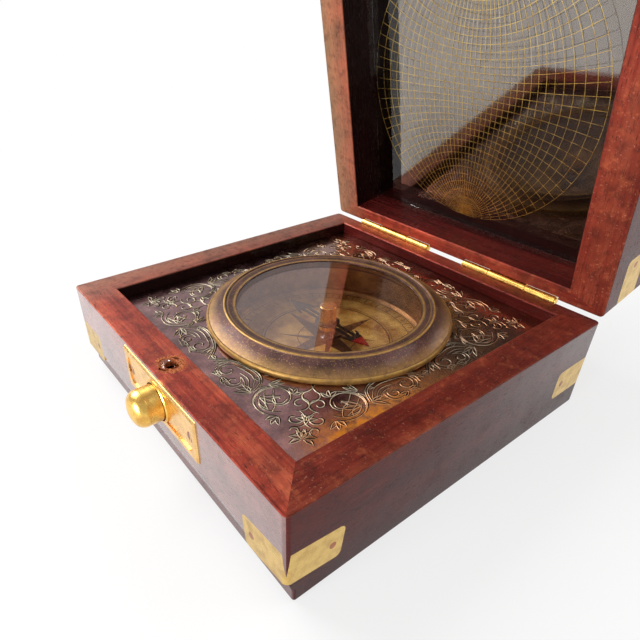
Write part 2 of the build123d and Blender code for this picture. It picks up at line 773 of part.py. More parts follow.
def latch_springs():
    """Two coil springs between the button's flange and the back of the pocket."""
    start = FLANGE_BACK + SPRING_WIRE + SPRING_SEAT_GAP
    height = POCKET_BACK - SPRING_WIRE - SPRING_SEAT_GAP - start
    pitch = height / SPRING_TURNS
    path = Helix(pitch=pitch, height=height, radius=SPRING_RADIUS)
    section = Plane(origin=path @ 0, z_dir=path % 0) * Circle(SPRING_WIRE)
    coil = sweep(section, path=path)
    rise = pitch / (2 * pi)
    lean = SPRING_RADIUS / sqrt(SPRING_RADIUS ** 2 + rise ** 2)
    print("least gap of the latch springs' turns", round(pitch * lean - 2 * SPRING_WIRE, 2))
    return [
        Pos(LATCH_X + side * SPRING_SPREAD / 2, start, SPRING_Z) * Rot(-90, 0, 0) * coil
        for side in (-1, 1)
    ]


def strike_screw_places():
    """Places of the two screws of the strike plate, heads down."""
    return [
        Pos(STRIKE_X + side * STRIKE_SCREW_SPACING / 2, STRIKE_Y, LID_RIM) * Rot(180, 0, 0)
        for side in (-1, 1)
    ]


def strike_plate_blank():
    """Strike plate before its holes are drilled."""
    outline = RectangleRounded(STRIKE_PLATE_LENGTH, STRIKE_PLATE_WIDTH, STRIKE_PLATE_ROUND)
    place = Pos(STRIKE_X, STRIKE_Y, LID_RIM)
    return extrude(place * outline, STRIKE_PLATE_THICKNESS, dir=(0, 0, 1))


def strike_plate():
    """Brass plate let into the lid's front rail, which holds the strike pin."""
    plate = strike_plate_blank()
    plate -= Pos(STRIKE_X, STRIKE_Y, LID_RIM) * disc(STRIKE_RADIUS, 0, STRIKE_PLATE_THICKNESS)
    for place in strike_screw_places():
        plate -= place * screw()
    return plate


def strike_pin():
    """Strike pin with a pointed nose and a notch in its back for the catch."""
    low = LID_RIM - STRIKE_LENGTH
    pin = turned(
        (0, low),
        (STRIKE_RADIUS - STRIKE_NOSE, low),
        (STRIKE_RADIUS, low + STRIKE_NOSE),
        (STRIKE_RADIUS, LID_RIM + STRIKE_PLATE_THICKNESS),
        (0, LID_RIM + STRIKE_PLATE_THICKNESS),
    )
    notch = block(
        (-STRIKE_RADIUS, STRIKE_RADIUS - STRIKE_NOTCH, CATCH_Z - CATCH_THICKNESS / 2 - CATCH_GAP),
        (STRIKE_RADIUS, STRIKE_RADIUS, CATCH_Z + CATCH_THICKNESS / 2 + CATCH_GAP),
    )
    return Pos(STRIKE_X, STRIKE_Y, 0) * (pin - notch)


def lid_strap_height():
    """Height of the straps on the closed lid, clear of the hinge leaves."""
    return LID_TOP - LID_STRAP_DROP


def lid_walls():
    """Four mitred rails of the closed lid, by name."""
    form = rounded_block(LID_RIM, LID_TOP, False)
    form -= eased_mouth(LID_RAIL, LID_RAIL, LID_BACK_RAIL, LID_RIM, False)
    for name, side_x, side_y, tilt in strap_corners():
        for wing in strap_wings(side_x, side_y, lid_strap_height(), 0):
            form -= wing
        for place in strap_nail_places(side_x, side_y, lid_strap_height(), 0):
            form -= place * nail()
    corners = rim_corners(LID_RAIL, LID_RAIL, LID_BACK_RAIL)
    names = ("front", "right", "back", "left")
    rails = {
        name: mitred_wall(form, corners, start, LID_RIM, LID_PANEL)
        for start, name in enumerate(names)
    }
    rails["front"] -= strike_plate_blank()
    for place in strike_screw_places():
        rails["front"] -= place * screw()
    for centre in HINGE_CENTRES:
        rails["back"] -= hinge_gain(centre, True)
    for place in hinge_nail_places(True):
        rails["back"] -= place * nail()
    return rails


def lid_top_panel():
    """Top board of the lid."""
    form = rounded_block(LID_RIM, LID_TOP, False)
    low = (-HALF_WIDTH, -HALF_DEPTH, LID_PANEL)
    return form & block(low, (HALF_WIDTH, HALF_DEPTH, LID_TOP))


def lid_lining(low, high):
    """Flat sheet that fits between the rails of the closed lid."""
    return block(
        (LID_RAIL - HALF_WIDTH + LINING_GAP, LID_RAIL - HALF_DEPTH + LINING_GAP, low),
        (HALF_WIDTH - LID_RAIL - LINING_GAP, HALF_DEPTH - LID_BACK_RAIL - LINING_GAP, high),
    )


def strap_nodes(prefix, low, high, height, on_base):
    """Straps of four corners, by node name, and their nails."""
    form = rounded_block(low, high, on_base)
    nodes = {}
    nails = []
    for name, side_x, side_y, tilt in strap_corners():
        turn = tilt if on_base else 0
        wings = [form & wing for wing in strap_wings(side_x, side_y, height, turn)]
        places = strap_nail_places(side_x, side_y, height, turn)
        nodes[prefix + "_straps_" + name] = [
            wing - place * nail() for wing, place in zip(wings, places)
        ]
        nails += [place * nail() for place in places]
    nodes[prefix + "_strap_nails"] = nails
    return nodes


def base_nodes():
    """Nodes of the base and of the compass in it."""
    nodes = {"base_" + name + "_wall": wall for name, wall in base_walls().items()}
    compass = Pos(0, COMPASS_Y, 0)
    nodes["base_bottom_panel"] = base_bottom_panel()
    nodes["filler_block"] = filler_block()
    nodes["deck_plate"] = deck_plate()
    nodes["compass_bowl"] = compass * compass_bowl()
    nodes["dial_plate"] = compass * dial_plate()
    nodes["dial_ring"] = compass * dial_ring()
    nodes["pivot_post"] = compass * pivot_post()
    nodes["bezel_ring"] = compass * bezel_ring()
    nodes["compass_glass"] = compass * compass_glass()
    nodes["glass_retaining_ring"] = compass * glass_retaining_ring()
    nodes["latch_plate"] = latch_plate()
    nodes["button_bushing"] = button_bushing()
    nodes["latch_screws"] = [place * screw() for place in latch_screw_places()]
    nodes["latch_springs"] = latch_springs()
    nodes["hinge_base_leaf_left"] = hinge_leaf(HINGE_CENTRES[0], False)
    nodes["hinge_base_leaf_right"] = hinge_leaf(HINGE_CENTRES[1], False)
    nodes["hinge_pin_left"] = hinge_pin(HINGE_CENTRES[0])
    nodes["hinge_pin_right"] = hinge_pin(HINGE_CENTRES[1])
    nodes["hinge_base_nails"] = [place * nail() for place in hinge_nail_places(False)]
    nodes.update(strap_nodes("base", 0, BASE_HEIGHT, STRAP_CENTRE, True))
    return nodes


def moving_nodes():
    """Nodes of the push button and of the needle."""
    compass = Pos(0, COMPASS_Y, 0)
    return {
        "latch_button": latch_button(),
        "latch_catch": latch_catch(),
        "needle_blade": compass * needle_blade(),
        "needle_cap": compass * needle_cap(),
        "needle_jewel": compass * needle_jewel(),
    }


def lid_nodes():
    """Nodes of the closed lid."""
    nodes = {"lid_" + name + "_rail": rail for name, rail in lid_walls().items()}
    glass_low = LID_RIM + LID_RECESS
    mirror_low = glass_low + LID_GLASS_THICKNESS
    mirror_high = mirror_low + MIRROR_THICKNESS
    nodes["lid_top_panel"] = lid_top_panel()
    nodes["lid_backing_board"] = lid_lining(mirror_high, LID_PANEL)
    nodes["mirror_plate"] = lid_lining(mirror_low, mirror_high)
    nodes["lid_glass"] = lid_lining(glass_low, mirror_low)
    nodes["strike_plate"] = strike_plate()
    nodes["strike_pin"] = strike_pin()
    nodes["strike_screws"] = [place * screw() for place in strike_screw_places()]
    nodes["hinge_lid_leaf_left"] = hinge_leaf(HINGE_CENTRES[0], True)
    nodes["hinge_lid_leaf_right"] = hinge_leaf(HINGE_CENTRES[1], True)
    nodes["hinge_lid_nails"] = [place * nail() for place in hinge_nail_places(True)]
    nodes.update(strap_nodes("lid", LID_RIM, LID_TOP, lid_strap_height(), False))
    return nodes


def write_node(name, shape, place=Pos(0, 0, 0)):
    """Write one node, a single solid or a group of separate solids."""
    pieces = shape if isinstance(shape, list) else [shape]
    solids = [solid for piece in pieces for solid in (place * piece).solids()]
    node = solids[0] if len(solids) == 1 else Compound(children=solids)
    export_step(node, "parts/" + name + ".step")


os.makedirs("parts", exist_ok=True)
for name, shape in (base_nodes() | moving_nodes()).items():
    write_node(name, shape)
for name, shape in lid_nodes().items():
    write_node(name, shape, OPEN_LID)
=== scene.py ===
# %% [markdown]
# A compass box stands open on a pale table: dark polished wood, brass fittings, a compass under glass,
# and a lid lined with a black mirror plate, over which lies a glass with a fine net of gold lines. The
# solid parts arrive from the model at true size, in metres, so every new piece is made at the place where
# it belongs.

# %% Load the model
import bmesh
import bpy
from math import cos, degrees, pi, radians, sin, tan
from mathutils import Matrix, Vector, noise


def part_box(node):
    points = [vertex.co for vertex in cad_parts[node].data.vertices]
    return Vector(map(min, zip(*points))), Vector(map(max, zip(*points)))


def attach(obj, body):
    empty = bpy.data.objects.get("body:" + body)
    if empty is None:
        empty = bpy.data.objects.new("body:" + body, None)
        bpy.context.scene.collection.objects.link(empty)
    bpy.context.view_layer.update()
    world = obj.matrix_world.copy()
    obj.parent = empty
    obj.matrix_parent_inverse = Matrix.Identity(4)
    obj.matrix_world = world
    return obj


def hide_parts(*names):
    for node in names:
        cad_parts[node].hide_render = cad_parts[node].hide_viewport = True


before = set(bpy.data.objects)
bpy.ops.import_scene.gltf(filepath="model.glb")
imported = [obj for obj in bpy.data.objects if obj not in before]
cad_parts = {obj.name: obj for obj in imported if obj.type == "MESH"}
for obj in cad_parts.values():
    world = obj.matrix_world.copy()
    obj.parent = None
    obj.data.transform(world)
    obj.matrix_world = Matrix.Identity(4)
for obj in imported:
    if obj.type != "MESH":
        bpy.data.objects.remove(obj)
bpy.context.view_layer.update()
print("model parts:", len(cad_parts))

# %% [markdown]
# Sizes here are thought of in millimetres, because the box is ten centimetres wide. One factor turns them
# into metres. The lid stands open, so anything on it is made as if the lid were shut and is then turned
# about the hinge line by the same angle as the model's lid.

# %% Measures and the hinge line
MM = 0.001
LID_ANGLE = radians(78.85)
HINGE_LINE = Vector((0, 50.6, 25.75)) * MM
OPEN_LID = (
    Matrix.Translation(HINGE_LINE)
    @ Matrix.Rotation(-LID_ANGLE, 4, "X")
    @ Matrix.Translation(-HINGE_LINE)
)
COMPASS = Vector((0, 1.75, 0)) * MM
deck_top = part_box("deck_plate")[1].z
dial_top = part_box("dial_plate")[1].z
print("deck height:", round(deck_top / MM, 2), "dial height:", round(dial_top / MM, 2))

# %% [markdown]
# The camera stands close to the box, over its front right corner, and looks down at the compass. Its place
# and its lens come from the corners of the box in the picture. The picture is a part of a wider one, so
# the lens is shifted a little.

# %% Camera
camera = bpy.data.objects.new("camera", bpy.data.cameras.new("camera"))
bpy.context.scene.collection.objects.link(camera)
camera.location = Vector((93.32, -81.91, 94.57)) * MM
heading, tilt, roll = radians(52.485), radians(56.09), radians(0.277)
camera.rotation_euler = (
    Matrix.Rotation(heading, 4, "Z")
    @ Matrix.Rotation(tilt, 4, "X")
    @ Matrix.Rotation(roll, 4, "Z")
).to_euler()
camera.data.lens = 29.54
camera.data.shift_x = 0.0422
camera.data.shift_y = 0.0421
camera.data.clip_start = 5 * MM
bpy.context.scene.camera = camera
print("camera stands", round(camera.location.z / MM), "mm above the table")

# %% [markdown]
# A material in Blender is a small net of nodes. A few helpers keep the nets short. The first ones turn a
# colour as it looks on a screen into the light that it sends back, add a node and wire it, mix colours,
# and do sums with patterns.

# %% Helpers for node nets
def tone(red, green, blue):
    """Light sent back by a colour that is given as it looks on a screen, from 0 to 255."""
    shares = [part / 255 for part in (red, green, blue)]
    return [s / 12.92 if s <= 0.04045 else ((s + 0.055) / 1.055) ** 2.4 for s in shares]


def wire(tree, kind, values={}, links={}, **settings):
    """Adds a node, sets its values and joins its inputs to other nodes' outputs."""
    node = tree.nodes.new(kind)
    for name, value in settings.items():
        setattr(node, name, value)
    for name, value in values.items():
        node.inputs[name].default_value = value
    for name, source in links.items():
        tree.links.new(source, node.inputs[name])
    return node


def colour_row(tree, share, *stops):
    """Turns a grey pattern into colours. Each stop is a place from 0 to 1 and a colour."""
    node = wire(tree, "ShaderNodeValToRGB", links={"Fac": share})
    row = node.color_ramp.elements
    row[0].position, row[0].color = stops[0][0], (*stops[0][1], 1)
    row[1].position, row[1].color = stops[-1][0], (*stops[-1][1], 1)
    for place, colour in stops[1:-1]:
        row.new(place).color = (*colour, 1)
    return node.outputs["Color"]


def mixed(tree, share, first, second):
    """Mixes two colours by a share from 0 to 1."""
    node = wire(tree, "ShaderNodeMix", data_type="RGBA")
    share_place, first_place, second_place, result = 0, 6, 7, 2
    for place, source in ((share_place, share), (first_place, first), (second_place, second)):
        if hasattr(source, "node"):
            tree.links.new(source, node.inputs[place])
        elif place == share_place:
            node.inputs[place].default_value = source
        else:
            node.inputs[place].default_value = (*source, 1)
    return node.outputs[result]


def sums(tree, way, first, second, clamp=False):
    """Adds, multiplies or compares two numbers."""
    node = wire(tree, "ShaderNodeMath", operation=way, use_clamp=clamp)
    for place, source in enumerate((first, second)):
        if hasattr(source, "node"):
            tree.links.new(source, node.inputs[place])
        else:
            node.inputs[place].default_value = source
    return node.outputs[0]


def times(tree, first, *others):
    """Product of two or more numbers."""
    for other in others:
        first = sums(tree, "MULTIPLY", first, other)
    return first


def stretch(tree, source, low, high, to_low=0.0, to_high=1.0):
    """Spreads a range of a pattern over another range, and stops at its ends."""
    values = {"From Min": low, "From Max": high, "To Min": to_low, "To Max": to_high}
    return wire(tree, "ShaderNodeMapRange", values, {"Value": source}).outputs["Result"]


# %% [markdown]
# The next helpers make places and patterns. A noise is a field of soft spots, and drawn out in one
# direction it gives streaks. Every pattern is tied to the piece itself and never to the camera, so it
# stays where it is when the piece moves.

# %% Helpers for patterns and finishes
def stretched_place(tree, sizes=(1, 1, 1), turn=0.0):
    """Object coordinates in millimetres, drawn out so that noise in them has spots of these sizes."""
    place = wire(tree, "ShaderNodeTexCoord").outputs["Object"]
    values = {"Scale": [size * MM for size in sizes], "Rotation": (turn, 0, 0)}
    return wire(tree, "ShaderNodeMapping", values, {"Vector": place}, vector_type="TEXTURE").outputs[0]


def parts_of(tree, place):
    """The three numbers of a place."""
    return wire(tree, "ShaderNodeSeparateXYZ", links={"Vector": place}).outputs


def distance_from(tree, place, middle, shares=(1, 1, 0)):
    """Distance of a place from a middle, with a share for each direction."""
    moved = wire(tree, "ShaderNodeVectorMath", {1: middle}, {0: place}, operation="SUBTRACT")
    flat = wire(tree, "ShaderNodeVectorMath", {1: shares}, {0: moved.outputs[0]}, operation="MULTIPLY")
    return wire(tree, "ShaderNodeVectorMath", links={0: flat.outputs[0]}, operation="LENGTH").outputs["Value"]


def cloud(tree, place, size, detail=3.0, roughness=0.55):
    """Soft noise whose spots are about size millimetres wide, from a place in millimetres."""
    values = {"Scale": 1 / size, "Detail": detail, "Roughness": roughness}
    return wire(tree, "ShaderNodeTexNoise", values, {"Vector": place}).outputs["Fac"]


def streaks(tree, sizes, detail=3.0, turn=0.0):
    """Noise that is drawn out to spots of these sizes in millimetres."""
    values, place = {"Scale": 1.0, "Detail": detail}, stretched_place(tree, sizes, turn)
    return wire(tree, "ShaderNodeTexNoise", values, {"Vector": place}).outputs["Fac"]


def relief(tree, height, depth, strength):
    """Bump of a pattern, depth in millimetres."""
    values = {"Strength": strength, "Distance": depth * MM}
    return wire(tree, "ShaderNodeBump", values, {"Height": height}).outputs["Normal"]


def new_finish(name):
    """A new material with its main shader."""
    material = bpy.data.materials.new(name)
    material.use_nodes = True
    tree = material.node_tree
    return material, tree, tree.nodes["Principled BSDF"]


def dress(material, *nodes):
    """Gives a finish to parts of the model."""
    for name in nodes:
        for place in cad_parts[name].material_slots:
            place.material = material
    print(material.name, "on", len(nodes), "parts")


# %% [markdown]
# The box is a dark red tropical hardwood under a thin oil varnish. Such wood shows three things: broad
# bands of growth, fine streaks along the grain, and short open pores that the varnish doesn't fill. Each
# is a noise pattern drawn out along the board. The rims are sawn and handled, so they are lighter and less
# glossy than the varnished outside.
#
# Places are told in millimetres from the hinge line, as on the shut box: across to the right, inward from
# the front, which is at -100.6, to the hinges, and above or below the seam between base and lid. So the
# same rules serve the base and the lid, whose boards are turned with it.

# %% Colours of the wood
TONE_PLACES = (0.38, 0.5, 0.64)
SIDE_TONES = (tone(66, 18, 17), tone(98, 30, 27), tone(132, 48, 37))
SAWN_TONES = (tone(130, 43, 31), tone(168, 67, 48), tone(192, 94, 65))
# pale pink for the painted sheen on the front faces
PAINTED_SHEEN = tone(196, 140, 128)
DARK_PATCH = tone(78, 24, 22)
PAINTED_RIGHT_SHADE = tone(70, 20, 15)
# paler tones for the painted sheen on the left rims of base and lid
LEFT_RIM_SHEEN, LID_LEFT_RIM_SHEEN = tone(146, 110, 92), tone(136, 110, 80)
STAIN = tone(62, 26, 20)
ORANGE_GLOW = tone(206, 116, 70)
LOW_DOWN = tone(56, 12, 12)
PORE = tone(40, 14, 14)
RUBBED = tone(206, 146, 118)
# near black for the painted shade on the inner faces of the side boards
PAINTED_INNER_SHADE = tone(22, 14, 13)
RAW_DARK, RAW_LIGHT = tone(128, 54, 28), tone(226, 142, 90)


def figured(tree, figure, tones):
    """Growth bands and streaks in three tones, from dark to light."""
    return colour_row(tree, figure, *zip(TONE_PLACES, tones))


def wood_colour(tree, place, rim, figure, is_lid, torn, pale_sheen):
    """Colour of the wood: tones, patches and stains, with a painted pale sheen, painted shade to the right,
    a painted sheen on the left rims, and turning dark towards the bottom.
    """
    across, _, above = parts_of(tree, place)
    # painted pale sheen: the sides are lightened towards a pale pink by its share
    sides = mixed(tree, pale_sheen, figured(tree, figure, SIDE_TONES), PAINTED_SHEEN)
    wood = mixed(tree, rim, sides, figured(tree, figure, SAWN_TONES))
    patches = stretch(tree, cloud(tree, place, 9, 3.0), 0.4, 0.66, 0.0, 0.5)
    wood = mixed(tree, patches, wood, DARK_PATCH)
    # painted shade: the wood turns dark towards the right
    if not torn:
        wood = mixed(tree, stretch(tree, across, -10.0, 46.0, 0.0, 0.6), wood, PAINTED_RIGHT_SHADE)
    # painted sheen: the left rims are lighter and paler
    left_rim_sheen = times(tree, rim, stretch(tree, across, -49.0, -34.0, 0.75, 0.0))
    wood = mixed(tree, left_rim_sheen, wood, LID_LEFT_RIM_SHEEN if is_lid else LEFT_RIM_SHEEN)
    stains = stretch(tree, cloud(tree, place, 3.2, 5.0, 0.65), 0.5, 0.66, 0.0, 0.5)
    wood = mixed(tree, stains, wood, STAIN)
    glow = stretch(tree, cloud(tree, place, 3.4, 6.0, 0.7), 0.55, 0.75, 0.0, 0.36)
    wood = mixed(tree, times(tree, glow, rim), wood, ORANGE_GLOW)
    low_down = stretch(tree, above, -24.0, -8.0, 0.72, 0.0)
    low_down = times(tree, low_down, sums(tree, "SUBTRACT", 1.0, pale_sheen))
    return mixed(tree, low_down, wood, LOW_DOWN)


print("wood in", len(SIDE_TONES) + len(SAWN_TONES), "main tones")

# %% [markdown]
# Round the hole for the lid's pin the rim is torn open and shows raw, fibrous wood. How torn it is depends
# on the distance from the hole, and a ragged noise on that distance frays the border.

# %% Torn rim
TORN_MIDDLE = (0.9, -96.0, 0)


def torn_open(tree, place):
    """How torn the rim is at a place, from 0 to 1, and the pattern of its fibres."""
    away = distance_from(tree, place, TORN_MIDDLE, (1, 1.15, 0))
    ragged = stretch(tree, cloud(tree, place, 0.9, 4.0, 0.7), 0.3, 0.7, -1.1, 1.1)
    raw = stretch(tree, sums(tree, "ADD", away, ragged), 3.4, 3.9, 1.0, 0.0)
    fibres = stretch(tree, cloud(tree, place, 0.38, 4.0, 0.7), 0.35, 0.65)
    return raw, fibres


print("torn wood", round(HINGE_LINE.y / MM + TORN_MIDDLE[1], 1), "mm from the middle of the box")

# %% [markdown]
# One function makes the wood for any direction of the grain, because the four boards of a frame meet in
# mitres and their grain turns there by a right angle. The inner faces of the left and right boards are
# painted nearly black, a painted shade. The front has a clear coat that mirrors the pale table, and a
# painted pale sheen lightens it a little.

# %% Rosewood
def rosewood(name, grain, turn=0.0, shade_within=None, torn=False, varnish=0.0, pale_sheen=0.0, front=False):
    """Varnished red-brown hardwood with its grain along x or y, turned about the hinge line.

    Within shade_within millimetres of the middle the wood is painted near black, a painted shade on the
    inner faces. With torn it is split round the pin's hole. varnish is the weight of a clear coat on the
    sides, and pale_sheen is how strong a painted pale sheen on them is. With front both are on the front
    edge alone.
    """
    material, tree, shader = new_finish(name)
    place = wire(tree, "ShaderNodeTexCoord").outputs["Object"]
    values = {"Location": HINGE_LINE, "Rotation": (turn, 0, 0), "Scale": (MM, MM, MM)}
    place = wire(tree, "ShaderNodeMapping", values, {"Vector": place}, vector_type="TEXTURE").outputs[0]
    across, inward, above = parts_of(tree, place)
    rim = stretch(tree, sums(tree, "ABSOLUTE", above, 0.0), 0.3, 0.6, 1.0, 0.0)
    # the painted pale sheen is kept to the front face
    if front:
        facing = stretch(tree, inward, -99.3, -98.6, 1.0, 0.0)
        pale_sheen = times(tree, facing, pale_sheen)
    patterns = []
    for length, width, detail in ((60, 6, 2.0), (20, 0.7, 5.0), (2.0, 0.18, 1.0)):
        sizes = (length, width, width) if grain == "x" else (width, length, width)
        patterns.append(streaks(tree, sizes, detail, turn))
    bands, lines, pores = patterns
    figure = sums(tree, "ADD", times(tree, bands, 0.6), times(tree, lines, 0.4))
    wood = wood_colour(tree, place, rim, figure, turn != 0, torn, pale_sheen)
    pits = stretch(tree, pores, 0.6, 0.7)
    wood = mixed(tree, times(tree, pits, 0.6), wood, PORE)
    rubbed = stretch(tree, cloud(tree, place, 0.42, 2.0), 0.64, 0.76, 0.0, 0.4)
    wood = mixed(tree, times(tree, rubbed, rim), wood, RUBBED)
    # painted shade: the inner faces of the side boards are painted near black
    if shade_within:
        inner_shade = stretch(tree, sums(tree, "ABSOLUTE", across, 0.0), shade_within, shade_within + 0.15, 0.92, 0.0)
        wood = mixed(tree, inner_shade, wood, PAINTED_INNER_SHADE)
    handled = stretch(tree, cloud(tree, place, 7, 3.0), 0.35, 0.7, -0.04, 0.12)
    gloss = sums(tree, "ADD", stretch(tree, rim, 0.0, 1.0, 0.2, 0.4), handled)
    gloss = sums(tree, "ADD", gloss, times(tree, pits, 0.2), clamp=True)
    depth = sums(tree, "SUBTRACT", times(tree, lines, 0.3), pits)
    depth = times(tree, depth, stretch(tree, rim, 0.0, 1.0, 0.3, 1.0))
    if torn:
        raw, fibres = torn_open(tree, place)
        wood = mixed(tree, raw, wood, colour_row(tree, fibres, (0.0, RAW_DARK), (1.0, RAW_LIGHT)))
        gloss = sums(tree, "ADD", gloss, times(tree, raw, 0.4), clamp=True)
        depth = sums(tree, "ADD", depth, times(tree, raw, times(tree, fibres, 6.0)))
    tree.links.new(wood, shader.inputs["Base Color"])
    tree.links.new(gloss, shader.inputs["Roughness"])
    tree.links.new(relief(tree, depth, 0.05, 0.6), shader.inputs["Normal"])
    if varnish:
        weight = stretch(tree, rim, 0.0, 1.0, varnish, 0.0)
        if grain == "y":
            far = stretch(tree, inward, -62.0, -12.0)
            weight = times(tree, weight, far, stretch(tree, above, -20.0, -5.0))
        if front:
            weight = times(tree, weight, facing)
        tree.links.new(weight, shader.inputs["Coat Weight"])
    shader.inputs["Metallic"].default_value = 0.35
    shader.inputs["IOR"].default_value = 1.4
    shader.inputs["Specular IOR Level"].default_value = 0.22
    shader.inputs["Coat IOR"].default_value = 2.1
    shader.inputs["Coat Roughness"].default_value = 0.14
    return material


# %% [markdown]
# Each board now gets its wood. The painted black shade reaches just past the inner faces of the side
# boards, which stand nearer together in the lid than in the base, and leaves their rims clean.

# %% Wood on the boards
BASE_MOUTH, LID_MOUTH = 41.05, 40.25
# shares of the painted pale sheen on the front faces
FRONT_SHEEN, EDGE_SHEEN = 0.24, 0.5

wood_across = rosewood("rosewood across", "x")
wood_torn = rosewood("rosewood torn", "x", torn=True, varnish=1.0, pale_sheen=FRONT_SHEEN)
wood_bottom = rosewood("rosewood bottom", "x", varnish=1.0, pale_sheen=EDGE_SHEEN, front=True)
wood_deep = rosewood("rosewood deep", "y", shade_within=BASE_MOUTH, varnish=0.45)
lid_wood_front = rosewood("lid rosewood front", "x", -LID_ANGLE, varnish=1.0, pale_sheen=FRONT_SHEEN)
lid_wood_across = rosewood("lid rosewood across", "x", -LID_ANGLE)
lid_wood_deep = rosewood("lid rosewood deep", "y", -LID_ANGLE, shade_within=LID_MOUTH)
dress(wood_torn, "base_front_wall")
dress(wood_across, "base_back_wall")
dress(wood_bottom, "base_bottom_panel")
dress(wood_deep, "base_left_wall", "base_right_wall", "filler_block")
dress(lid_wood_front, "lid_front_rail")
dress(lid_wood_across, "lid_back_rail", "lid_top_panel", "lid_backing_board")
dress(lid_wood_deep, "lid_left_rail", "lid_right_rail")

# %% [markdown]
# The fittings are polished brass that has been handled for years: bright, a little warm, with soft brown
# tarnish in patches and fine scratches in two directions. Metal has no colour of its own under the
# shine, so the whole look is in its reflection colour and in how rough it is.

# %% Polished brass
def brushed_brass(name, bright, tarnish, patches):
    """Metal with tarnish in patches, which cover it up to a share, and fine scratches."""
    material, tree, shader = new_finish(name)
    spots = cloud(tree, stretched_place(tree), 2.6, 4.0)
    scratches = sums(tree, "ADD", streaks(tree, (4.0, 0.12, 0.5)), streaks(tree, (0.5, 3.0, 0.12)))
    metal = mixed(tree, stretch(tree, spots, 0.42, 0.68, 0.0, patches), bright, tarnish)
    tree.links.new(metal, shader.inputs["Base Color"])
    shader.inputs["Metallic"].default_value = 1.0
    tree.links.new(stretch(tree, scratches, 0.7, 1.3, 0.2, 0.38), shader.inputs["Roughness"])
    tree.links.new(relief(tree, scratches, 0.008, 0.4), shader.inputs["Normal"])
    return material


polished = brushed_brass("polished brass", tone(250, 206, 136), tone(206, 152, 82), 0.45)
worn_brass = brushed_brass("worn brass", tone(252, 208, 112), tone(196, 134, 62), 0.6)
brown_screws = brushed_brass("brown screws", tone(176, 112, 76), tone(100, 58, 38), 0.9)
strap_brass = brushed_brass("strap brass", tone(226, 190, 112), tone(172, 130, 64), 0.6)
dress(polished, "latch_plate", "strike_plate", "strike_pin", "needle_cap")
dress(strap_brass, *[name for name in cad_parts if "straps" in name])
dress(worn_brass, *[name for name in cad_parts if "hinge" in name])
dress(worn_brass, "button_bushing", "latch_button", "latch_catch")
dress(brown_screws, "latch_screws", "strike_screws", "base_strap_nails", "lid_strap_nails")

# %% [markdown]
# The bezel, the deck and the bowl are brass too, but the maker darkened them with acid and then rubbed
# the high edges bright again. Where the patina is thick, less bare metal shows, and gold grains are left
# in it. On the bezel the foot and the lip are rubbed, and the cone between them is dark bronze. The deck
# is lacquered. Its colour has painted shade and a painted dark reflection to the right and towards the
# back, is warmer towards the back and amber along the right edge, and carries a painted highlight on the
# last strip under the wall.

# %% Antiqued brass
# PAINTED_DECK_SHADE is painted shade and a painted dark reflection on the deck
PAINTED_DECK_SHADE, WARM_BACK, AMBER = tone(66, 40, 28), tone(190, 120, 72), tone(224, 136, 40)
AMBER_EDGE, GLINT_START, GLINT_FULL = 38.0, 40.2, 40.5


def rubbed_rings(tree, place, rings):
    """How bright the rubbed rings round the compass are.

    A ring says where its brightness starts, is full, ends and is gone, in millimetres from the middle of
    the compass, and how bright it gets.
    """
    distance = distance_from(tree, place, COMPASS / MM)
    worn = 0.0
    for start, full, last, gone, most in rings:
        rise = stretch(tree, distance, start, full, 0.0, most)
        fall = stretch(tree, distance, last, gone, 1.0, 0.0)
        worn = sums(tree, "MAXIMUM", times(tree, rise, fall), worn)
    return worn


def deck_colour_and_shade(tree, place, metal, uneven):
    """Colour of the deck with painted shade and a painted dark reflection to the right and towards the
    back, warmer towards the back and amber along the right edge, and how amber it is.
    """
    across, inward, _ = parts_of(tree, place)
    # painted shade and dark reflection: the deck is dimmed to the right and towards the back
    shade = times(tree, stretch(tree, across, 6.0, 28.0, 0.0, 0.55), stretch(tree, inward, -26.0, -4.0))
    metal = mixed(tree, shade, metal, PAINTED_DECK_SHADE)
    warm = times(tree, stretch(tree, inward, 16.0, 34.0, 0.0, 0.6), uneven)
    metal = mixed(tree, warm, metal, WARM_BACK)
    amber = times(
        tree, stretch(tree, across, AMBER_EDGE - 8, AMBER_EDGE), uneven,
        stretch(tree, inward, -16.0, 14.0, 1.0, 0.0), stretch(tree, inward, -40.0, -29.0),
    )
    return mixed(tree, amber, metal, AMBER), amber


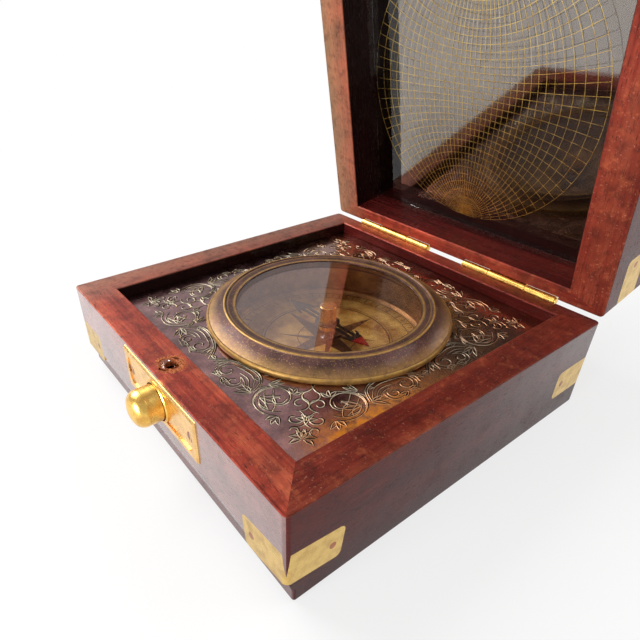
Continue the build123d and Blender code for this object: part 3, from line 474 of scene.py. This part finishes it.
def antiqued_brass(
    name, dark, middle, bright, rubbed=(), gloss=(0.28, 0.45), lacquer=0.0, deck_shading=False, bare=1.0
):
    """Darkened brass in three tones.

    rubbed are its bright rings, gloss is its least and most roughness, lacquer the weight of its clear
    coat, and bare its share of bare metal. With deck_shading it has the deck's painted shade and painted
    dark reflection, its warmer back and amber edge, and the painted highlight along its right edge.
    """
    material, tree, shader = new_finish(name)
    place = stretched_place(tree)
    clouds = cloud(tree, place, 5.2, 5.0, 0.62)
    grains = cloud(tree, place, 0.35, 3.0)
    metal = mixed(tree, stretch(tree, clouds, 0.35, 0.68), dark, middle)
    metal = mixed(tree, stretch(tree, grains, 0.6, 0.74, 0.0, 0.6), metal, dark)
    metal = mixed(tree, stretch(tree, grains, 0.42, 0.3, 0.0, 0.5), metal, bright)
    uneven = stretch(tree, cloud(tree, place, 1.5, 3.0), 0.3, 0.6, 0.5, 1.0)
    shader.inputs["Metallic"].default_value = bare
    if rubbed:
        metal = mixed(tree, times(tree, rubbed_rings(tree, place, rubbed), uneven), metal, bright)
    if deck_shading:
        metal, amber = deck_colour_and_shade(tree, place, metal, uneven)
        tree.links.new(stretch(tree, amber, 0.0, 1.0, bare, 0.35 * bare), shader.inputs["Metallic"])
        # painted highlight: a bright line on the last strip of the deck under the right wall
        edge_glint = stretch(tree, parts_of(tree, place)["X"], GLINT_START, GLINT_FULL, 0.0, 0.9)
        metal = mixed(tree, edge_glint, metal, bright)
    tree.links.new(metal, shader.inputs["Base Color"])
    shader.inputs["Coat Weight"].default_value = lacquer
    shader.inputs["Coat Roughness"].default_value = 0.12
    tree.links.new(stretch(tree, clouds, 0.3, 0.7, *gloss), shader.inputs["Roughness"])
    tree.links.new(relief(tree, grains, 0.02, 0.4), shader.inputs["Normal"])
    return material


# %% [markdown]
# The bezel's rings follow its turned form, from the middle outwards: the edge of the land at the glass,
# the step beside the lip, the lip, the cone, which gets brighter towards its foot, and the beaded foot.

# %% Bezel, deck, bowl and dial
BEZEL_RINGS = (
    (25.0, 25.2, 25.5, 25.9, 0.6),
    (26.9, 27.1, 27.2, 27.4, 0.4),
    (27.7, 27.9, 28.2, 28.4, 0.8),
    (29.6, 32.2, 32.3, 32.4, 0.42),
    (32.3, 32.6, 34.0, 35.0, 0.85),
)
bezel_metal = antiqued_brass(
    "bezel bronze", tone(66, 43, 40), tone(106, 71, 67), tone(206, 160, 82),
    rubbed=BEZEL_RINGS, gloss=(0.42, 0.56), lacquer=0.12, bare=0.65,
)
deck_metal = antiqued_brass(
    "deck bronze", tone(118, 80, 84), tone(172, 124, 126), tone(214, 168, 92),
    gloss=(0.16, 0.3), lacquer=1.0, deck_shading=True,
)
bowl_metal = antiqued_brass(
    "bowl brass", tone(124, 80, 44), tone(190, 138, 82), tone(214, 170, 96), bare=0.6,
)
dial_metal = antiqued_brass(
    "dial gold", tone(168, 108, 48), tone(255, 214, 120), tone(255, 220, 140), bare=0.0,
)
dress(bezel_metal, "bezel_ring")
dress(deck_metal, "deck_plate")
dress(bowl_metal, "compass_bowl", "dial_ring", "glass_retaining_ring")
dress(dial_metal, "dial_plate")

# %% [markdown]
# The plate in the lid is metal with a smooth black coat, half a mirror: it shows the table and the base
# dimly, and it is painted dark near the hinges and to the right, a painted dark reflection of the base.
# The needle is black lacquer, and its head is red.

# %% Black plate, needle, jewel and springs
RED_START, RED_FULL = 11.4, 11.7

material, tree, shader = new_finish("black mirror plate")
place = stretched_place(tree)
across, _, above = parts_of(tree, place)
patches = cloud(tree, place, 14, 3.0)
coat = mixed(tree, patches, tone(132, 126, 124), tone(144, 134, 128))
# painted dark reflection: the plate is painted dark near the hinges and to the right
painted_dark_reflection = times(tree, stretch(tree, above, 42.0, 78.0, 0.8, 0.0), stretch(tree, across, -34.0, -16.0))
tree.links.new(mixed(tree, painted_dark_reflection, coat, tone(62, 52, 44)), shader.inputs["Base Color"])
shader.inputs["Metallic"].default_value = 1.0
tree.links.new(stretch(tree, patches, 0.3, 0.7, 0.04, 0.09), shader.inputs["Roughness"])
dress(material, "mirror_plate")

material, tree, shader = new_finish("needle lacquer")
place = stretched_place(tree)
grains = cloud(tree, place, 0.5, 3.0)
head = stretch(tree, parts_of(tree, place)["X"], RED_START, RED_FULL)
paint = mixed(tree, head, tone(24, 22, 24), tone(176, 22, 30))
tree.links.new(mixed(tree, times(tree, grains, 0.3), paint, tone(60, 46, 40)), shader.inputs["Base Color"])
tree.links.new(stretch(tree, grains, 0.3, 0.7, 0.25, 0.4), shader.inputs["Roughness"])
dress(material, "needle_blade")

material, tree, shader = new_finish("ruby jewel")
grains = cloud(tree, stretched_place(tree), 0.7, 2.0)
tree.links.new(mixed(tree, grains, tone(120, 8, 30), tone(190, 20, 50)), shader.inputs["Base Color"])
shader.inputs["Roughness"].default_value = 0.05
dress(material, "needle_jewel")

spring_steel = brushed_brass("spring steel", tone(190, 190, 194), tone(120, 120, 126), 0.5)
dress(spring_steel, "latch_springs", "pivot_post")

# %% [markdown]
# Window glass can be rendered by bending light through it, which is slow and makes the dial below dark.
# The panes here are flat and thin, so they don't bend what lies behind them. It is enough to let light
# straight through and to mirror a share of it, and that share grows as the view gets flatter.

# %% Glass
def pane(name, tint, least, bloom=(1, 1, 1)):
    """Flat glass: straight through, with a least mirror share of a colour that grows at flat angles."""
    material, tree, shader = new_finish(name)
    tree.nodes.remove(shader)
    facing = wire(tree, "ShaderNodeLayerWeight", {"Blend": 0.5}).outputs["Facing"]
    share = sums(tree, "MULTIPLY_ADD", sums(tree, "POWER", facing, 5.0), 1 - least)
    share.node.inputs[2].default_value = least
    smears = cloud(tree, stretched_place(tree), 9, 3.0)
    clear = wire(tree, "ShaderNodeBsdfTransparent", {"Color": (*tint, 1)})
    mirror = wire(tree, "ShaderNodeBsdfAnisotropic", {"Color": (*bloom, 1)})
    tree.links.new(stretch(tree, smears, 0.4, 0.7, 0.0, 0.03), mirror.inputs["Roughness"])
    both = wire(tree, "ShaderNodeMixShader", links={0: share, 1: clear.outputs[0], 2: mirror.outputs[0]})
    tree.links.new(both.outputs[0], tree.nodes["Material Output"].inputs["Surface"])
    return material


compass_pane = pane("compass glass", (0.98, 0.95, 0.93), 0.15, (1.0, 0.85, 0.83))
lid_pane = pane("lid glass", (0.975, 0.97, 0.955), 0.04)
dress(compass_pane, "compass_glass")

# %% [markdown]
# Strokes, panes and lines all become pieces of the box in the same way, so one helper does it: the piece
# gets its mesh and its finish, and rides on a body.

# %% Helpers for pieces
def keep_piece(bm, name, body, material):
    """Turns a finished bmesh into a piece of the box that moves with a body."""
    bmesh.ops.recalc_face_normals(bm, faces=bm.faces)
    mesh = bpy.data.meshes.new(name)
    bm.to_mesh(mesh)
    bm.free()
    mesh.shade_flat()
    mesh.materials.append(material)
    piece = bpy.data.objects.new(name, mesh)
    bpy.context.scene.collection.objects.link(piece)
    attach(piece, body)
    print(name, len(mesh.polygons), "faces")
    return piece


def add_mesh(bm, other, matrix=Matrix()):
    """Adds the shapes of another bmesh, moved by a matrix, and keeps the other."""
    held = bpy.data.meshes.new("held")
    other.to_mesh(held)
    held.transform(matrix)
    bm.from_mesh(held)
    bpy.data.meshes.remove(held)


# %% [markdown]
# The pane in the lid has edges that were ground a little. Its back stays a hair's breadth from the mirror
# behind it, because two faces in one plane confuse the light.

# %% Pane in the lid
PANE_LOW = Vector((-40.0, -40.0, 35.2))
PANE_HIGH = Vector((40.0, 45.2, 37.35))
GROUND_EDGE = 0.15

bm = bmesh.new()
bmesh.ops.create_cube(bm, size=1)
size = PANE_HIGH - PANE_LOW
bmesh.ops.transform(bm, matrix=Matrix.Diagonal((*size, 1)), verts=bm.verts)
bmesh.ops.bevel(
    bm, geom=bm.edges, affect="EDGES", offset=GROUND_EDGE, segments=1, profile=0.5, material=-1,
)
bmesh.ops.translate(bm, verts=bm.verts, vec=(PANE_LOW + PANE_HIGH) / 2)
bmesh.ops.transform(bm, matrix=OPEN_LID @ Matrix.Scale(MM, 4), verts=bm.verts)
lid_glass_piece = keep_piece(bm, "lid_pane", "lid", lid_pane)
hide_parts("lid_glass")

# %% [markdown]
# The deck round the compass is a brass plate with scrolls and leaves pressed up out of it. Such ornament
# is drawn with few kinds of stroke: a free vine, a stem of two strokes with small leaves, a scroll that
# winds inwards, and a leaf with one round edge and one that is nearly straight. A curve with a bevel makes
# a stroke that gets thin at its ends.

# %% Strokes for the ornament
class Ornament:
    """Strokes of a curve that becomes one mesh."""

    def __init__(self, name):
        self.curve = bpy.data.curves.new(name, "CURVE")
        self.curve.dimensions = "3D"
        self.curve.bevel_resolution = 0
        self.curve.resolution_u = 4
        self.curve.use_fill_caps = True

    def vine(self, *points, weight=1.0):
        """Smooth stroke along points, thin at both ends."""
        spline = self.curve.splines.new("NURBS")
        last = len(points) - 1
        spline.points.add(last)
        for step, (point, (across, along)) in enumerate(zip(spline.points, points)):
            point.co = (across * MM, along * MM, 0, 1)
            point.radius = weight * (0.35 + 0.65 * sin(pi * (step + 0.3) / (last + 0.6)))
        spline.order_u = 3
        spline.use_endpoint_u = True

    def stem(self, *points, gap, leaves):
        """Two strokes side by side, with small leaves of a given length on alternate sides."""
        places = [Vector(point) for point in points]
        for side in (-1, 1):
            aside = [self.outward(places, step) * side * gap / 2 for step in range(len(places))]
            self.vine(*[place + shift for place, shift in zip(places, aside)])
        for step in range(1, len(places)):
            foot = places[step - 1].lerp(places[step], 0.6)
            run = (places[step] - places[step - 1]).normalized()
            side = self.outward(places, step) * (1 if step % 2 else -1)
            self.leaf(foot + side * gap / 2, foot + (side + run * 0.8) * leaves, leaves * 0.3, 0.8)

    def outward(self, places, step):
        """Sideways direction at one point of a path."""
        run = places[min(step + 1, len(places) - 1)] - places[max(step - 1, 0)]
        return Vector((-run.y, run.x)).normalized()

    def scroll(self, centre, radii, angles, weight):
        """Stroke that winds from one radius and angle to another."""
        steps = max(4, round(abs(angles[1] - angles[0]) / 40))
        points = []
        for step in range(steps + 1):
            share = step / steps
            radius = radii[0] + (radii[1] - radii[0]) * share
            angle = radians(angles[0] + (angles[1] - angles[0]) * share)
            points.append((centre[0] + radius * cos(angle), centre[1] + radius * sin(angle)))
        self.vine(*points, weight=weight)

    def leaf(self, foot, tip, belly, weight=0.9):
        """Leaf with one round edge and one that is nearly straight."""
        side = Vector((foot.y - tip.y, tip.x - foot.x)).normalized() * belly
        for bend in (side * 1.3, side * -0.4):
            lower, upper = foot.lerp(tip, 0.3) + bend, foot.lerp(tip, 0.7) + bend * 0.7
            self.vine(foot, lower, upper, tip, weight=weight)

    def fan(self, foot, reach, angles, belly):
        """Leaves that spread from one foot, as in an acanthus."""
        foot = Vector(foot)
        for angle in angles:
            away = Vector((cos(radians(angle)), sin(radians(angle))))
            self.leaf(foot + away * 0.3, foot + away * reach, belly)

    def mesh(self, thickness):
        """The strokes as a bmesh, with their full width in millimetres."""
        self.curve.bevel_depth = thickness / 2 * MM
        held = bpy.data.objects.new("strokes", self.curve)
        bpy.context.scene.collection.objects.link(held)
        bpy.context.view_layer.update()
        graph = bpy.context.evaluated_depsgraph_get()
        drawn = bpy.data.meshes.new_from_object(held.evaluated_get(graph))
        bm = bmesh.new()
        bm.from_mesh(drawn)
        bpy.data.objects.remove(held)
        bpy.data.meshes.remove(drawn)
        return bm


# %% [markdown]
# Only half of one corner is drawn, in distances from that corner, and the rest is mirrored and turned, as
# a pattern maker would. A flower with a bent vine sits near the corner's own line, a large scroll with
# hatching stands beside it, and a leafy stem runs along the side to its middle.

# %% Half of one corner
RIDGE_WIDTH, HOLLOW_WIDTH = 0.29, 0.64

corner = Ornament("deck scrolls")
corner.vine(
    (18.0, 18.6), (17.0, 16.6), (17.6, 14.8), (16.0, 13.4), (13.6, 13.8), (12.4, 12.0), (13.4, 10.2),
    weight=1.1,
)
corner.scroll((15.0, 12.2), (2.2, 0.5), (150, -190), 1.0)
corner.scroll((12.0, 8.6), (2.5, 0.6), (60, 400), 1.1)
corner.scroll((12.0, 8.6), (3.0, 2.8), (110, 210), 0.9)
corner.scroll((9.4, 6.2), (1.5, 0.5), (220, -60), 1.0)
corner.scroll((19.3, 9.2), (5.9, 2.2), (215, 590), 1.1)
corner.scroll((19.3, 9.0), (5.2, 4.6), (240, 430), 0.9)
corner.vine((16.4, 6.2), (18.0, 8.6), (20.6, 9.0), (22.6, 11.0))
corner.vine((18.2, 5.0), (19.2, 6.8), (21.4, 7.4), (23.2, 8.8), weight=0.9)
corner.scroll((19.3, 9.0), (4.4, 3.6), (200, 330), 0.8)
corner.scroll((19.0, 9.4), (2.0, 0.5), (120, 460), 0.9)
corner.fan((22.0, 6.6), 4.6, (124, 156, 188), 0.7)
corner.fan((18.4, 12.6), 2.6, (20, 62, 104), 0.5)
corner.stem(
    (24.3, 6.4), (25.2, 9.2), (27.4, 10.8), (30.4, 11.0), (33.6, 10.3), (36.4, 9.4), (38.8, 7.8), (41, 5.3),
    gap=0.5, leaves=1.5,
)
corner.vine((24.8, 6.2), (26.4, 8.5), (28.8, 9.7), (31.6, 9.5), (34.2, 8.8), weight=0.9)
corner.vine((25.6, 6.0), (27.4, 7.8), (29.6, 8.5), (31.8, 8.0), weight=0.9)
corner.vine((26.2, 5.6), (27.8, 6.8), (29.0, 7.3), (30.6, 7.4), weight=0.8)
corner.scroll((34.4, 6.4), (2.6, 0.6), (100, -330), 1.0)
corner.scroll((34.4, 6.4), (3.1, 2.9), (30, -120), 0.8)
corner.scroll((30.2, 5.4), (1.9, 0.5), (80, 460), 1.0)
corner.scroll((30.2, 5.4), (2.4, 2.2), (150, 290), 0.8)
corner.fan((24.0, 6.2), 4.0, (-48, -24, 0), 0.55)
corner.fan((37.2, 8.6), 3.8, (-84, -58), 0.55)
corner.fan((33.2, 4.2), 2.8, (-24, 4, 178, 206), 0.4)
corner.fan((14.6, 6.4), 2.8, (210, 246, 282), 0.6)
corner.fan((24.6, 10.6), 3.6, (96, 122, 148), 0.45)
corner.fan((27.8, 11.6), 2.2, (60, 100), 0.35)
corner.fan((9.8, 9.8), 2.4, (15, -25), 0.5)
corner.fan((6.2, 6.2), 2.8, (-78, -34, 10, 40), 0.6)
corner_ridges, corner_hollows = corner.mesh(RIDGE_WIDTH), corner.mesh(HOLLOW_WIDTH)
print("half a corner:", len(corner_ridges.faces), "faces")

# %% [markdown]
# The same strokes are laid down twice. Wide and low they are the dark hollows, acid patina round each
# ridge and, moved a little to one side, a painted shadow; narrow and high they are the ridges that were
# rubbed bright.

# %% All four corners
DECK_HALF = Vector((41.0, 42.75)) * MM
RIDGE_HEIGHT, HOLLOW_HEIGHT = 0.9, 0.15
# the dark hollows are moved to one side of the ridges as a painted shadow
SHADOW_SHIFT = Matrix.Translation((0.12 * MM, 0.09 * MM, 0))
MIRRORED = Matrix(((0, 1, 0, 0), (1, 0, 0, 0), (0, 0, 1, 0), (0, 0, 0, 1)))


def all_corners(strokes, height):
    """Eight copies of half a corner, flattened to a share of their height."""
    bm = bmesh.new()
    for side_x in (-1, 1):
        for side_y in (-1, 1):
            start = Vector((side_x * DECK_HALF.x, COMPASS.y + side_y * DECK_HALF.y, deck_top))
            sizes = Matrix.Diagonal((-side_x, -side_y * DECK_HALF.y / DECK_HALF.x, height, 1))
            for turn in (Matrix(), MIRRORED):
                add_mesh(bm, strokes, Matrix.Translation(start) @ sizes @ turn)
    return bm


# the ridges also take the deck's painted shade and painted edge highlight
scroll_metal = antiqued_brass(
    "rubbed scrolls", tone(132, 118, 100), tone(220, 208, 182), tone(240, 226, 196),
    gloss=(0.32, 0.5), deck_shading=True,
)
hollow_metal = antiqued_brass(
    "hollow patina and shadow", tone(26, 18, 18), tone(40, 28, 26), tone(80, 60, 40), gloss=(0.4, 0.6),
)
ridges = all_corners(corner_ridges, RIDGE_HEIGHT)
keep_piece(ridges, "deck_scrollwork", "base", scroll_metal)
# painted shadow: the dark hollows are moved to one side of the ridges
bmesh.ops.transform(corner_hollows, matrix=SHADOW_SHIFT, verts=corner_hollows.verts)
hollows = all_corners(corner_hollows, HOLLOW_HEIGHT)
keep_piece(hollows, "deck_scroll_hollows", "base", hollow_metal)

# %% [markdown]
# Years of shutting have split the wood round the hole for the lid's pin. A collar of broken fibres fills
# the front part of the hole: rings of points round the pin, pushed up and down by a fixed noise, while
# the way of the pin stays free.

# %% Torn wood in the pin's hole
PIN_PLACE, PIN_ROOM = Vector((0.2, -45.3, 0)), 1.42
HOLE_PLACE, HOLE_RADIUS = Vector((0.2, -45.9, 0)), 2.18
RIM_HEIGHT, COLLAR_DEPTH, COLLAR_STEPS = 25.6, 2.0, 56
TORN_DROP, TORN_RISE, TORN_ROUGHNESS = 0.75, 0.7, 0.6


def collar_ring(bm, share, level=None):
    """Ring of points between the pin's way, share 0, and the hole's wall, share 1, torn or at a level."""
    ring = []
    for step in range(COLLAR_STEPS):
        angle = 2 * pi * step / COLLAR_STEPS
        away = Vector((cos(angle), sin(angle), 0))
        spot = (PIN_PLACE + away * PIN_ROOM).lerp(HOLE_PLACE + away * HOLE_RADIUS, share)
        rough = noise.noise(Vector((spot.x * 2.3, spot.y * 2.3, 4.0 * share)))
        torn = RIM_HEIGHT - TORN_DROP + TORN_RISE * share + TORN_ROUGHNESS * rough * (1 - share)
        spot.z = torn if level is None else level
        ring.append(bm.verts.new(spot * MM))
    return ring


bm = bmesh.new()
rings = [collar_ring(bm, share) for share in (0.0, 0.35, 0.7, 1.0)]
inner_foot, outer_foot = [collar_ring(bm, share, RIM_HEIGHT - COLLAR_DEPTH) for share in (0.0, 1.0)]
loops = [inner_foot, *rings, outer_foot, inner_foot]
for inner, outer in zip(loops, loops[1:]):
    for step in range(COLLAR_STEPS):
        after = (step + 1) % COLLAR_STEPS
        bm.faces.new([inner[step], inner[after], outer[after], outer[step]])
keep_piece(bm, "torn_wood_collar", "base", wood_torn)

# %% [markdown]
# The glass in the lid carries a net of gold circles: the meridians and parallels of a globe seen from
# its side, five degrees apart. Every line of it is an arc of a true circle, and the net has a simple rule:
# the line for an angle spans that angle on either side of its middle. So each line is a small oblong that
# is spun about its own centre. The mirror behind the glass shows every line a second time.

# %% Net of gold lines
NET_RADIUS = 36.2
NET_CENTRE = Vector((-0.8, 4.4, PANE_LOW.z))
NET_STEP = 5
LINE_WIDTH, LINE_DEPTH = 0.09, 0.03


def net_line(bm, middle, radius, half_angle, start):
    """Arc line of the net, spun about its centre from one end to the other."""
    inner, outer = radius - LINE_WIDTH / 2, radius + LINE_WIDTH / 2
    corners = ((inner, -LINE_DEPTH), (outer, -LINE_DEPTH), (outer, 0), (inner, 0))
    face = bm.faces.new([bm.verts.new(Vector((x, 0, z)) * MM) for x, z in corners])
    place = Matrix.Translation(middle) @ Matrix.Rotation(start - half_angle, 4, "Z")
    bmesh.ops.transform(bm, matrix=place, verts=face.verts)
    steps = 10 + round(degrees(half_angle) / 4)
    bmesh.ops.spin(bm, geom=[face], cent=middle, axis=(0, 0, 1), angle=2 * half_angle, steps=steps)


bm = bmesh.new()
for spread in range(NET_STEP, 90 + NET_STEP, NET_STEP):
    angle = radians(spread)
    for side in (0, pi):
        away = Vector((cos(side), 0, 0))
        net_line(bm, -away * NET_RADIUS / tan(angle) * MM, NET_RADIUS / sin(angle), angle, side)
        if spread < 90:
            up = Vector((0, cos(side), 0))
            net_line(bm, up * NET_RADIUS / sin(angle) * MM, NET_RADIUS / tan(angle), angle, side - pi / 2)
line = Matrix.Translation((0, 0, -LINE_DEPTH / 2 * MM))
line = line @ Matrix.Diagonal((2 * NET_RADIUS * MM, LINE_WIDTH * MM, LINE_DEPTH * MM, 1))
for turn in (0, pi / 2):
    made = bmesh.ops.create_cube(bm, size=1)["verts"]
    bmesh.ops.transform(bm, matrix=Matrix.Rotation(turn, 4, "Z") @ line, verts=made)
bmesh.ops.transform(bm, matrix=OPEN_LID @ Matrix.Translation(NET_CENTRE * MM), verts=bm.verts)
net_gold = brushed_brass("net gold", tone(236, 200, 104), tone(172, 130, 54), 0.8)
keep_piece(bm, "net_lines", "lid", net_gold)

# %% [markdown]
# The dial is gilt and printed with a rose: a star with a long point for each main wind, each point half
# dark and half bare so that it looks folded, and a short point between them, with rings and a scale of
# degrees round it. A point is a slim flat form, laid on the dial as a thin film and copied round by a
# spin that duplicates.

# %% Helpers for the dial
INK_HEIGHT = 0.04


def film(bm, outline):
    """Thin film of ink over a flat outline on the dial."""
    face = bm.faces.new([bm.verts.new((x * MM, y * MM, 0)) for x, y in outline])
    raised = bmesh.ops.extrude_face_region(bm, geom=[face])["geom"]
    corners = [part for part in raised if isinstance(part, bmesh.types.BMVert)]
    bmesh.ops.translate(bm, verts=corners, vec=(0, 0, INK_HEIGHT * MM))


def films_round(bm, count, outline, turn=0.0):
    """Films of ink over one outline, turned by an angle and copied round the middle of the dial."""
    drawn = bmesh.new()
    film(drawn, outline)
    bmesh.ops.rotate(drawn, verts=drawn.verts, matrix=Matrix.Rotation(turn, 3, "Z"))
    bmesh.ops.spin(
        drawn, geom=drawn.verts[:] + drawn.edges[:] + drawn.faces[:], axis=(0, 0, 1),
        angle=2 * pi * (count - 1) / count, steps=count - 1, use_duplicate=True,
    )
    add_mesh(bm, drawn)
    drawn.free()


def ink_ring(bm, radius, width):
    """Printed ring."""
    ring = bmesh.new()
    inner, outer = radius - width / 2, radius + width / 2
    corners = ((inner, 0), (outer, 0), (outer, INK_HEIGHT), (inner, INK_HEIGHT))
    face = ring.faces.new([ring.verts.new((x * MM, 0, z * MM)) for x, z in corners])
    bmesh.ops.spin(ring, geom=[face], axis=(0, 0, 1), angle=2 * pi, steps=96, use_merge=True)
    bmesh.ops.remove_doubles(ring, verts=ring.verts, dist=0.0001 * MM)
    add_mesh(bm, ring)
    ring.free()


# %% [markdown]
# The ink is brown and has worn thin in spots, so its colour and its gloss follow a fine noise.

# %% Compass rose and degree scale
INK_RINGS = ((8.2, 0.25), (17.6, 0.35), (18.4, 0.15), (23.6, 0.15), (26.3, 0.25))
DARK_HALF = [(0, 0), (17.2, 0), (2.4, 2.4)]
BARE_HALF_EDGE = [(17.2, 0), (0, 0), (2.4, -2.4), (17.2, -0.12)]
SHORT_POINT = [(2.2, 0), (13.6, 0), (3.6, 1.6)]
FINE_MARK = [(24.4, -0.07), (25.9, -0.07), (25.9, 0.07), (24.4, 0.07)]
TEN_DEGREE_MARK = [(23.7, -0.12), (25.9, -0.12), (25.9, 0.12), (23.7, 0.12)]

bm = bmesh.new()
for radius, width in INK_RINGS:
    ink_ring(bm, radius, width)
films_round(bm, 4, DARK_HALF)
films_round(bm, 4, BARE_HALF_EDGE)
films_round(bm, 4, SHORT_POINT, pi / 4)
films_round(bm, 72, FINE_MARK)
films_round(bm, 36, TEN_DEGREE_MARK)
bmesh.ops.translate(bm, verts=bm.verts, vec=COMPASS + Vector((0, 0, dial_top)))
ink, tree, shader = new_finish("dial ink")
worn = cloud(tree, stretched_place(tree), 0.9, 4.0)
brown = colour_row(tree, worn, (0.35, tone(70, 38, 22)), (0.7, tone(136, 88, 50)))
tree.links.new(brown, shader.inputs["Base Color"])
tree.links.new(stretch(tree, worn, 0.3, 0.7, 0.35, 0.55), shader.inputs["Roughness"])
keep_piece(bm, "dial_rose", "base", ink)

# %% [markdown]
# The table is white. It sends a share of white straight to the camera and to mirrors, so that it looks
# like the plain ground of a catalogue picture, and the rest is a common matt surface that still takes
# the shadow of the box. The share is whole at a distance and smaller near the box.

# %% Table
TABLE_HALF = 3.0
NEAR, FAR = 0.12, 0.34

bm = bmesh.new()
bmesh.ops.create_grid(bm, x_segments=1, y_segments=1, size=TABLE_HALF)
table_mesh = bpy.data.meshes.new("table")
bm.to_mesh(table_mesh)
bm.free()
table = bpy.data.objects.new("table", table_mesh)
bpy.context.scene.collection.objects.link(table)
material, tree, shader = new_finish("white table")
shader.inputs["Base Color"].default_value = (0.82, 0.82, 0.82, 1)
shader.inputs["Roughness"].default_value = 0.9
glow = wire(tree, "ShaderNodeEmission", {"Color": (1, 1, 1, 1), "Strength": 1.0})
path = wire(tree, "ShaderNodeLightPath").outputs
seen = sums(tree, "MAXIMUM", path["Is Camera Ray"], path["Is Glossy Ray"])
seen = sums(tree, "MAXIMUM", seen, path["Is Transmission Ray"])
place = wire(tree, "ShaderNodeTexCoord").outputs["Object"]
white = stretch(tree, distance_from(tree, place, (0, 0, 0)), NEAR, FAR, 0.72, 1.0)
share = times(tree, seen, white)
both = wire(tree, "ShaderNodeMixShader", links={0: share, 1: shader.outputs[0], 2: glow.outputs[0]})
tree.links.new(both.outputs[0], tree.nodes["Material Output"].inputs["Surface"])
table_mesh.materials.append(material)
print("table", 2 * TABLE_HALF, "m wide")

# %% [markdown]
# The light is that of a pale room: an even glow from all around, a large soft lamp at the left as the
# main light, a low one in front and a weaker one behind. The room is white where the camera looks at it,
# and about half as bright in mirrors, because the walls of a room get less light than the table. As a
# light on the box it is weaker still, so that the lamps give the box its shape.

# %% Room and lamps
ROOM_AS_LIGHT, ROOM_IN_MIRRORS = 0.32, 0.55

world = bpy.data.worlds.new("room")
bpy.context.scene.world = world
world.use_nodes = True
tree = world.node_tree
ground = tree.nodes["Background"]
path = wire(tree, "ShaderNodeLightPath").outputs
mirrored = sums(tree, "MAXIMUM", path["Is Glossy Ray"], path["Is Transmission Ray"])
mirrored = stretch(tree, mirrored, 0.0, 1.0, ROOM_AS_LIGHT, ROOM_IN_MIRRORS)
tree.links.new(sums(tree, "MAXIMUM", path["Is Camera Ray"], mirrored), ground.inputs["Strength"])
ground.inputs["Color"].default_value = (1, 1, 1, 1)


def soft_lamp(name, place, size, power):
    """Square area lamp that faces the middle of the box."""
    lamp = bpy.data.lights.new(name, "AREA")
    lamp.size = size * MM
    lamp.energy = power
    held = bpy.data.objects.new(name, lamp)
    bpy.context.scene.collection.objects.link(held)
    held.location = Vector(place) * MM
    aim = Vector((0, 0, 20)) * MM - held.location
    held.rotation_euler = aim.to_track_quat("-Z", "Y").to_euler()
    print(name, "at", place)


soft_lamp("main lamp", (-640, -200, 580), 560, 7.6)
soft_lamp("front lamp", (40, -720, 110), 300, 7.0)
soft_lamp("back lamp", (300, 500, 600), 400, 1.6)

# %% Close
bpy.context.scene.view_settings.view_transform = "Standard"
